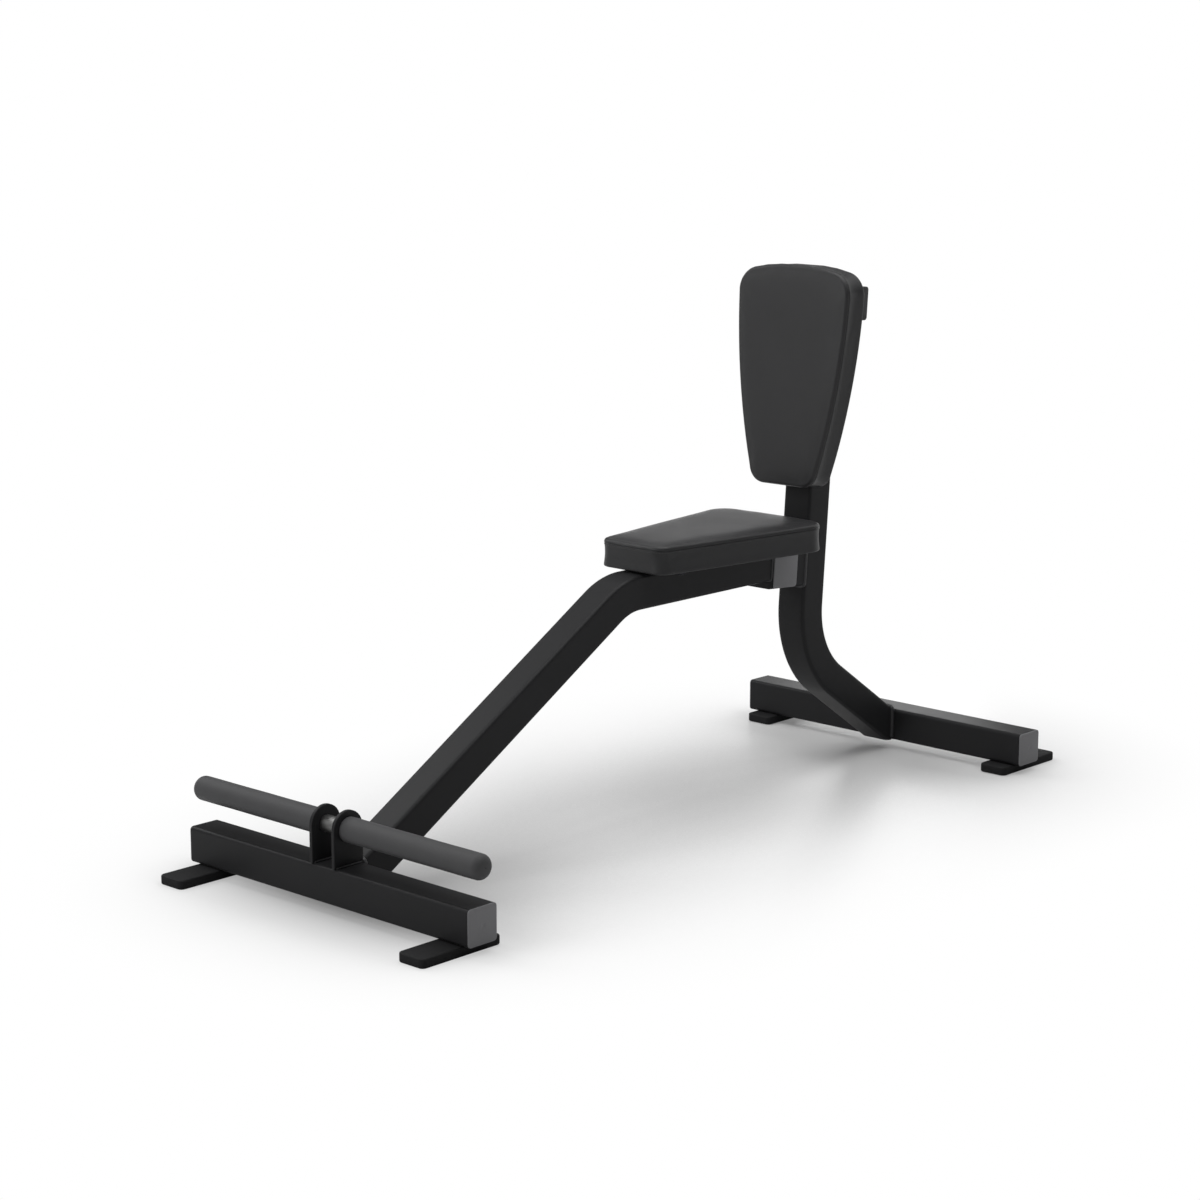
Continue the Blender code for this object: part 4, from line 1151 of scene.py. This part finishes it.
def carried(points, rest, moved, cap, neighbours=8, batch=500):
    """Move points with the cloth near them: the mean of their neighbours' moves, weighted by
    1 / distance squared, with each neighbour's own move held under the cap."""
    step = moved - rest
    size = np.linalg.norm(step, axis=1, keepdims=True)
    step *= np.minimum(1, cap / np.maximum(size, 1e-9))
    out = np.empty_like(points)
    square = (rest ** 2).sum(1)
    for first in range(0, len(points), batch):
        chunk = points[first:first + batch]
        distance = square[None] - 2 * chunk @ rest.T + (chunk ** 2).sum(1)[:, None]
        near = np.argpartition(distance, neighbours, axis=1)[:, :neighbours]
        weight = 1 / (np.take_along_axis(distance, near, 1) + 1e-6)
        weight /= weight.sum(1)[:, None]
        out[first:first + batch] = chunk + (step[near] * weight[:, :, None]).sum(1)
    return out


# Pads, lying flat: "steel" is (half width, from, to) of each piece of steel that one rests on
SEAT_PAD = {
    "name": "seat",
    "length": 0.3585,
    "widths": (0.129, 0.187, 0.236),
    "thickness": 0.0445,
    "corners": (0.024, 0.036),
    "bow": 0.006,
    "steel": ((0.052, 0.054, 0.096), (0.072, 0.241, 0.283)),
}
BACK_PAD = {
    "name": "back",
    "length": 0.3635,
    "widths": (0.127, 0.208, 0.2295),
    "thickness": 0.046,
    "corners": (0.030, 0.040),
    "bow": 0.015,
    "steel": ((0.0295, -0.01, 0.30), (0.083, 0.270, 0.340)),
}


def pad_place(pad):
    """Where a pad's own frame lies: flat on the seat plates, or leaning on the upright."""
    if pad is SEAT_PAD:
        return Matrix.Translation((0, SEAT_FRONT_Y, SEAT_BOTTOM))
    return lean_frame(BACK_CLIMB, HALF_TUBE + TOUCH)


class BENCH_OT_cushions(bpy.types.Operator):
    """Make the two vinyl cushions, blown up as cloth, with their seams and stitches."""

    bl_idname = "bench.cushions"
    bl_label = "Cushions"

    def execute(self, context):
        for pad in (SEAT_PAD, BACK_PAD):
            self.cushion(pad)
        return {"FINISHED"}

    def cushion(self, pad):
        """Cushion: the outline at the pad's levels, moved a little by the blown-up cloth.

        The stitches run on the row 3 mm under the seam, which lies five rows below it.
        """
        name, thickness = pad["name"], pad["thickness"]
        outline = pad_outline(pad, 360)
        grid = stacked(outline, pad_levels(thickness, 12, sizes().seam_depth))
        seam_height = thickness - sizes().cushion_edge - SEAM_DROP
        stitch_row = int(np.argmin(np.abs(grid[:, 0, 2] - seam_height))) - 5
        rest, moved = puffed(pad_outline(pad, 160), thickness)
        flat = grid.reshape(-1, 3)
        lifted = carried(flat, rest, moved, CLOTH_CAP)
        share = np.clip((flat[:, 2:] - CLOTH_HELD) / CLOTH_LET_IN, 0, 1)
        grid = (flat + (lifted - flat) * share * CLOTH_SHARE).reshape(grid.shape)
        place = pad_place(pad)
        cushion = build(name + "_vinyl_cushion", [(placed(grid, place), "fan")], sharp=60)
        dress(cushion, embossed_vinyl(), "vinyl_cover", name + "_cushion")
        self.stitches(name, grid[stitch_row], place)

    def stitches(self, name, line, place):
        """Stitches: short rounded bars laid end to end along a line."""
        pitch = sizes().stitch_pitch
        count = int(length_of(line) / pitch)
        spots = resampled(line, count)
        ahead = tangents(spots)
        outward = unit(np.column_stack([ahead[:, 1], -ahead[:, 0], np.zeros(count)]))
        upward = np.cross(outward, ahead)
        half, thick, rise, least = pitch * 0.40, 0.00035, 0.00012, 0.3
        start = [(-half, least), (-half * 0.85, 0.8), (-half * 0.4, 1)]
        bar = start + [(-along, share) for along, share in reversed(start)]
        angles = round_angles(6)
        parts = []
        for spot, t, o, u in zip(spots, ahead, outward, upward):
            section = np.cos(angles)[:, None] * o + np.sin(angles)[:, None] * u
            rows = [spot + t * along + o * (rise * (share - least)) + thick * share * section
                    for along, share in bar]
            parts.append((placed(np.array(rows), place), "fan"))
        thread = build(name + "_seam_stitches", parts, sharp=80)
        dress(thread, bonded_polyester_thread(), "vinyl_cover")


class BENCH_OT_backings(bpy.types.Operator):
    """Cover the pads' boards with stapled backing cloth."""

    bl_idname = "bench.backings"
    bl_label = "Backings"

    def execute(self, context):
        for pad in (SEAT_PAD, BACK_PAD):
            self.backing(pad)
        return {"FINISHED"}

    def clear_of_steel(self, pad, points):
        """1 where nothing lies under the pad, falling to 0 at the steel that carries it."""
        x, y = np.abs(points[..., 0]), points[..., 1]
        clear = np.ones(x.shape)
        for half_width, low, high in pad["steel"]:
            out = np.maximum(x - half_width, np.maximum(low - y, y - high))
            clear = np.minimum(clear, np.clip(out / STEEL_FADE, 0, 1))
        return clear

    def backing(self, pad):
        """Sheet: rings of the pad's outline, thin over the steel and folded double at its edge.

        The fold hangs down a little, with a sine wave along it where the cloth is gathered.
        """
        name = pad["name"]
        count, waves = 300, 31
        top, bottom, fold_depth, wave_depth = 0.00013, 0.00028, 0.0006, 0.00012
        cut = inset(pad_outline(pad, count), BACKING_INSET)
        shares = np.array([1.0, 0.997, 0.985, 0.95, 0.90, 0.885, 0.87])
        shares = np.concatenate([shares, np.linspace(0.8, 0.05, 8)])
        upper = stacked(cut, [(0, share, -top) for share in shares])
        lower = stacked(cut, [(0, share, -bottom) for share in shares])
        fold = np.interp(shares, [0.87, 0.90, 0.985, 1.0], [0, 1, 1, 0.3])
        clear = self.clear_of_steel(pad, lower)
        wave = wave_depth * np.sin(np.linspace(0, 2 * math.pi * waves, count, endpoint=False))
        lower[:, :, 2] -= fold[:, None] * clear * (fold_depth + wave[None])
        grid = np.concatenate([upper[::-1], lower])
        place = pad_place(pad)
        sheet = build(name + "_backing_cloth", [(placed(grid, place), "fan")], sharp=60)
        dress(sheet, spunbond_backing(), "vinyl_cover")
        self.staples(pad, name, cut, place)

    def staples(self, pad, name, cut, place):
        """Staples: flat wire crowns, 10 mm long, laid along the fold wherever it is clear.

        Each crown is a flat section carried along a low arch that dips into the cloth.
        """
        line = inset(cut, STAPLE_INSET)
        spots = resampled(line, int(length_of(line) / sizes().staple_pitch))
        ahead = tangents(spots)
        keep = self.clear_of_steel(pad, spots) > 0.99
        half, bend, depth, thinned = 0.0050, 0.0046, 0.0010, 0.6
        wire_width, wire_height, wire_corner = 0.0012, 0.0006, 0.00025
        profile = rounded_rectangle(wire_width, wire_height, wire_corner, steps=2, support=0.0001)
        leg = [(-half, 0.0006), (-half, 0.0001), (-bend, -0.0001)]
        run = leg + [(0, -0.00012)] + [(-along, rise) for along, rise in reversed(leg)]
        parts = []
        for (x, y), (tx, ty) in zip(spots[keep], ahead[keep]):
            rows = []
            for along, rise in run:
                across = profile[:, :1] * np.array([[-ty, tx, 0]])
                flatness = thinned if abs(along) < half else 1.0
                drop = np.array([[0, 0, 1]]) * (profile[:, 1:] * flatness)
                centre = np.array([x + tx * along, y + ty * along, rise - depth])
                rows.append(centre + across + drop)
            parts.append((placed(np.array(rows), place), "fan"))
        wires = build(name + "_backing_staples", parts)
        dress(wires, bright_zinc_plate(), "zinc_plate")


# Fasteners


class BENCH_OT_fasteners(bpy.types.Operator):
    """Make the bolts that hold the pads, and finish the nuts, screws and boards of the frame."""

    bl_idname = "bench.fasteners"
    bl_label = "Fasteners"

    def execute(self, context):
        seat = pad_place(SEAT_PAD)
        for row, (half_spacing, y) in zip(("front", "rear"), SEAT_BOLTS):
            for side, sign in SIDES:
                place = seat @ Matrix.Translation((sign * half_spacing, y, 0))
                bolt = self.bolt(f"hex_bolt_seat_{row}_{side}", place, PLATE_THICKNESS)
                dress(bolt, black_zinc_plate(), "zinc_plate", f"seat_bolt_{row}_{side}")
        back = pad_place(BACK_PAD)
        names = ("upper_left", "upper_right", "lower_1", "lower_2")
        for label, (x, y) in zip(names, BACK_BOLTS):
            place = back @ Matrix.Translation((x, y, 0))
            bolt = self.bolt("hex_bolt_back_" + label, place, TUBE_SIDE)
            dress(bolt, black_zinc_plate(), "zinc_plate", "back_bolt_" + label)
        for name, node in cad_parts.items():
            if "tee_nut" in name or "foot_screw" in name:
                self.finish_node(node, bright_zinc_plate())
            if name.endswith("_board"):
                self.finish_node(node, birch_plywood())
        return {"FINISHED"}

    def finish_node(self, node, material):
        """Give a CAD node that stays in view its finish."""
        node.data.materials.clear()
        node.data.materials.append(material)

    def bolt(self, name, place, under):
        """Hex bolt with a plain and a spring washer; own Z points to the pad.

        A hexagon's edge lies its flat distance over the cosine of the angle from the middle of
        the nearest flat; the head's rim drops with that distance, as a chamfer cut on a lathe.
        Its end face is dished a little: face is (share of the turned circle, depth).
        """
        washer, ring, head = 0.0016, 0.0015, 0.0040
        flat, shank, reach, steps = 0.0065, 0.0040, 0.010, 96
        washer_radius, ring_radius, hole, edge = 0.0090, 0.0070, 0.0042, 0.0003
        turned_share, chamfer_slope = 0.95, 0.55
        face = ((1, 0), (0.9, 0.0001), (0.86, 0.0003))
        seat = -2 * TOUCH - under
        top = seat - washer - ring
        end = top - head
        angles = round_angles(steps)
        hexagon = flat / np.cos((angles + math.pi / 6) % (math.pi / 3) - math.pi / 6)
        circle = np.full(steps, flat * turned_share)
        sections = [(hexagon, top), (hexagon, end + (hexagon - circle) * chamfer_slope)]
        sections += [(circle * share, end + sunk) for share, sunk in face]
        rows = [np.column_stack([radius * np.cos(angles), radius * np.sin(angles),
                                 np.broadcast_to(height, steps)]) for radius, height in sections]
        parts = [(placed(np.array(rows), place), "fan")]
        for outer, low, high in (
            (washer_radius, seat - washer, seat),
            (ring_radius, top, seat - washer),
        ):
            profile = [(hole, low), (outer - edge, low), (outer, low + edge), (outer, high - edge),
                       (outer - edge, high), (hole, high)]
            parts.append((placed(turned(profile, 48), place), "ring"))
        parts.append((placed(turned([(shank, top), (shank, reach)], 24), place), "fan"))
        return build(name, parts, sharp=25)


# Stage


def seen_directly(tree, path):
    """1 for a ray from the camera or through glass, where the studio shows plain white."""
    return add_node(tree, "ShaderNodeMath", {
        0: path.outputs["Is Camera Ray"], 1: path.outputs["Is Transmission Ray"],
    }, operation="MAXIMUM").outputs[0]


class BENCH_OT_stage(bpy.types.Operator):
    """Set the camera, the floor, the soft lamps and the white surroundings."""

    bl_idname = "bench.stage"
    bl_label = "Stage"

    def execute(self, context):
        scene = context.scene
        scene.view_settings.view_transform = "Standard"
        self.camera(scene)
        self.floor()
        self.surroundings(scene)
        self.lamps()
        return {"FINISHED"}

    def camera(self, scene):
        """Camera at the photograph's place; azimuth and elevation give its three axes."""
        data = bpy.data.cameras.new("camera")
        data.lens = CAMERA_LENS
        data.sensor_width = SENSOR_WIDTH
        data.clip_start, data.clip_end = 0.1, 200.0
        camera = add_object("camera", data)
        a, e = CAMERA_AZIMUTH, CAMERA_ELEVATION
        back = Vector((math.sin(a) * math.cos(e), -math.cos(a) * math.cos(e), math.sin(e)))
        right = Vector((math.cos(a), math.sin(a), 0))
        turn = Matrix((right, back.cross(right), back)).transposed().to_4x4()
        camera.matrix_world = Matrix.Translation(CAMERA_PLACE) @ turn
        scene.camera = camera

    def floor(self):
        """Pale floor that fades into the white surroundings and keeps the bench's shadow."""
        mesh = bpy.data.meshes.new("studio_floor")
        half, drop = 60.0, 0.0004
        corners = [(x * half, y * half, -drop) for x, y in ((-1, -1), (1, -1), (1, 1), (-1, 1))]
        mesh.from_pydata(corners, [], [(0, 1, 2, 3)])
        floor = add_object("studio_floor", mesh)
        mesh.materials.append(studio_floor_paint())

    def surroundings(self, scene):
        """White to the eye; in reflections, a white curtain with a darker studio above it."""
        world = bpy.data.worlds.new("white_studio")
        world.use_nodes = True
        tree = world.node_tree
        tree.nodes.clear()
        direction = add_node(tree, "ShaderNodeTexCoord").outputs["Generated"]
        height = add_node(tree, "ShaderNodeSeparateXYZ", {"Vector": direction})
        above = STUDIO_BANDS[0][1]
        for (low, before), (high, after) in zip(STUDIO_BANDS, STUDIO_BANDS[1:]):
            if before == after:
                continue
            above = add_node(tree, "ShaderNodeMapRange", {
                "Value": height.outputs["Z"],
                "From Min": math.sin(math.radians(low)),
                "From Max": math.sin(math.radians(high)),
                "To Min": above,
                "To Max": after,
            }, interpolation_type="SMOOTHSTEP").outputs["Result"]
        path = add_node(tree, "ShaderNodeLightPath")
        mirrored = add_node(tree, "ShaderNodeMix", {
            "Factor": path.outputs["Is Glossy Ray"], "A": WORLD_FILL, "B": above,
        })
        strength = add_node(tree, "ShaderNodeMix", {
            "Factor": seen_directly(tree, path), "A": mirrored.outputs["Result"], "B": 1.0,
        })
        light = add_node(tree, "ShaderNodeBackground", {
            "Color": (1, 1, 1, 1), "Strength": strength.outputs["Result"],
        })
        add_node(tree, "ShaderNodeOutputWorld", {"Surface": light.outputs[0]})
        scene.world = world

    def lamps(self):
        """Square soft lamps, each turned to its target and unseen by the camera."""
        for name, place, target, side, watts in LAMPS:
            data = bpy.data.lights.new(name, "AREA")
            data.shape = "SQUARE"
            data.size = side
            data.energy = watts
            lamp = add_object(name, data)
            lamp.visible_camera = False
            aim = Vector(target) - Vector(place)
            turn = aim.to_track_quat("-Z", "Y").to_matrix().to_4x4()
            lamp.matrix_world = Matrix.Translation(place) @ turn


@made_once
def studio_floor_paint(name):
    """Satin white studio paint: soft shadows near the bench, white to the camera further off.

    Its shade under the bench is the open share of the sky to a power. It turns white with the
    distance from a line of the floor's middle, sooner for the camera than for a reflection.
    """
    material, tree, shader, place = start_material(name, IOR=1.45, Roughness=0.35)
    cover = add_node(tree, "ShaderNodeAmbientOcclusion", {"Distance": 1.2}, samples=32)
    shade = add_node(tree, "ShaderNodeMath", {
        0: cover.outputs["AO"], 1: FLOOR_SHADE,
    }, operation="POWER")
    shade = add_node(tree, "ShaderNodeMath", {
        0: shade.outputs[0], 1: FLOOR_DARKEST,
    }, operation="MAXIMUM")
    paint = add_node(tree, "ShaderNodeMix", {
        "Factor": shade.outputs[0], "A": (0, 0, 0, 1), "B": linear(colours().floor),
    }, data_type="RGBA")
    tree.links.new(paint.outputs["Result"], shader.inputs["Base Color"])
    centred = add_node(tree, "ShaderNodeVectorMath", {
        0: place, 1: (*FLOOR_MIDDLE, 0),
    }, operation="SUBTRACT")
    axes = add_node(tree, "ShaderNodeSeparateXYZ", {"Vector": centred.outputs[0]})
    along = add_node(tree, "ShaderNodeMath", {0: axes.outputs["Y"]}, operation="ABSOLUTE")
    past = add_node(tree, "ShaderNodeMath", {
        0: along.outputs[0], 1: FLOOR_LINE,
    }, operation="SUBTRACT")
    past = add_node(tree, "ShaderNodeMath", {0: past.outputs[0], 1: 0.0}, operation="MAXIMUM")
    off = add_node(tree, "ShaderNodeCombineXYZ", {"X": axes.outputs["X"], "Y": past.outputs[0]})
    run = add_node(tree, "ShaderNodeVectorMath", {0: off.outputs[0]}, operation="LENGTH")
    near, far = [add_node(tree, "ShaderNodeMapRange", {
        "Value": run.outputs["Value"], "From Min": start, "From Max": end,
    }, interpolation_type="SMOOTHSTEP").outputs["Result"]
        for start, end in (FLOOR_FADE, FLOOR_MIRRORED_FADE)]
    path = add_node(tree, "ShaderNodeLightPath")
    seen = add_node(tree, "ShaderNodeMath", {
        0: seen_directly(tree, path), 1: near,
    }, operation="MULTIPLY")
    mirrored = add_node(tree, "ShaderNodeMath", {
        0: path.outputs["Is Glossy Ray"], 1: far,
    }, operation="MULTIPLY")
    seen = add_node(tree, "ShaderNodeMath", {
        0: seen.outputs[0], 1: mirrored.outputs[0],
    }, operation="ADD")
    white = add_node(tree, "ShaderNodeEmission", {"Color": (1, 1, 1, 1), "Strength": 1.0})
    mix = add_node(tree, "ShaderNodeMixShader", {
        0: seen.outputs[0], 1: shader.outputs[0], 2: white.outputs[0],
    })
    tree.links.new(mix.outputs[0], tree.nodes["Material Output"].inputs["Surface"])
    return material


OPERATORS = (
    BENCH_OT_stage,
    BENCH_OT_frame_tubes,
    BENCH_OT_joint_welds,
    BENCH_OT_end_caps,
    BENCH_OT_feet,
    BENCH_OT_footrest,
    BENCH_OT_cushions,
    BENCH_OT_backings,
    BENCH_OT_fasteners,
)


class BENCH_PT_panel(bpy.types.Panel):
    """Lists the bench's pieces, sizes and colours in the sidebar."""

    bl_label = "Utility bench"
    bl_idname = "BENCH_PT_panel"
    bl_space_type = "VIEW_3D"
    bl_region_type = "UI"
    bl_category = "Utility bench"

    def draw(self, context):
        for operator in OPERATORS:
            self.layout.operator(operator.bl_idname)
        for group in (context.scene.bench_sizes, context.scene.bench_colours):
            box = self.layout.box()
            for key in group.__annotations__:
                box.prop(group, key)


CLASSES = (BenchSizes, BenchColours, *OPERATORS, BENCH_PT_panel)


def register():
    """Register the classes, and hang the sizes and colours on the scene."""
    for item in CLASSES:
        bpy.utils.register_class(item)
    bpy.types.Scene.bench_sizes = bpy.props.PointerProperty(type=BenchSizes)
    bpy.types.Scene.bench_colours = bpy.props.PointerProperty(type=BenchColours)


def unregister():
    """Undo what register does."""
    del bpy.types.Scene.bench_colours
    del bpy.types.Scene.bench_sizes
    for item in reversed(CLASSES):
        bpy.utils.unregister_class(item)


def main():
    """Make the stage and each piece."""
    register()
    bpy.ops.bench.stage()
    bpy.ops.bench.frame_tubes()
    bpy.ops.bench.joint_welds()
    bpy.ops.bench.end_caps()
    bpy.ops.bench.feet()
    bpy.ops.bench.footrest()
    bpy.ops.bench.cushions()
    bpy.ops.bench.backings()
    bpy.ops.bench.fasteners()
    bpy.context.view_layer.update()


if __name__ == "__main__":
    main()
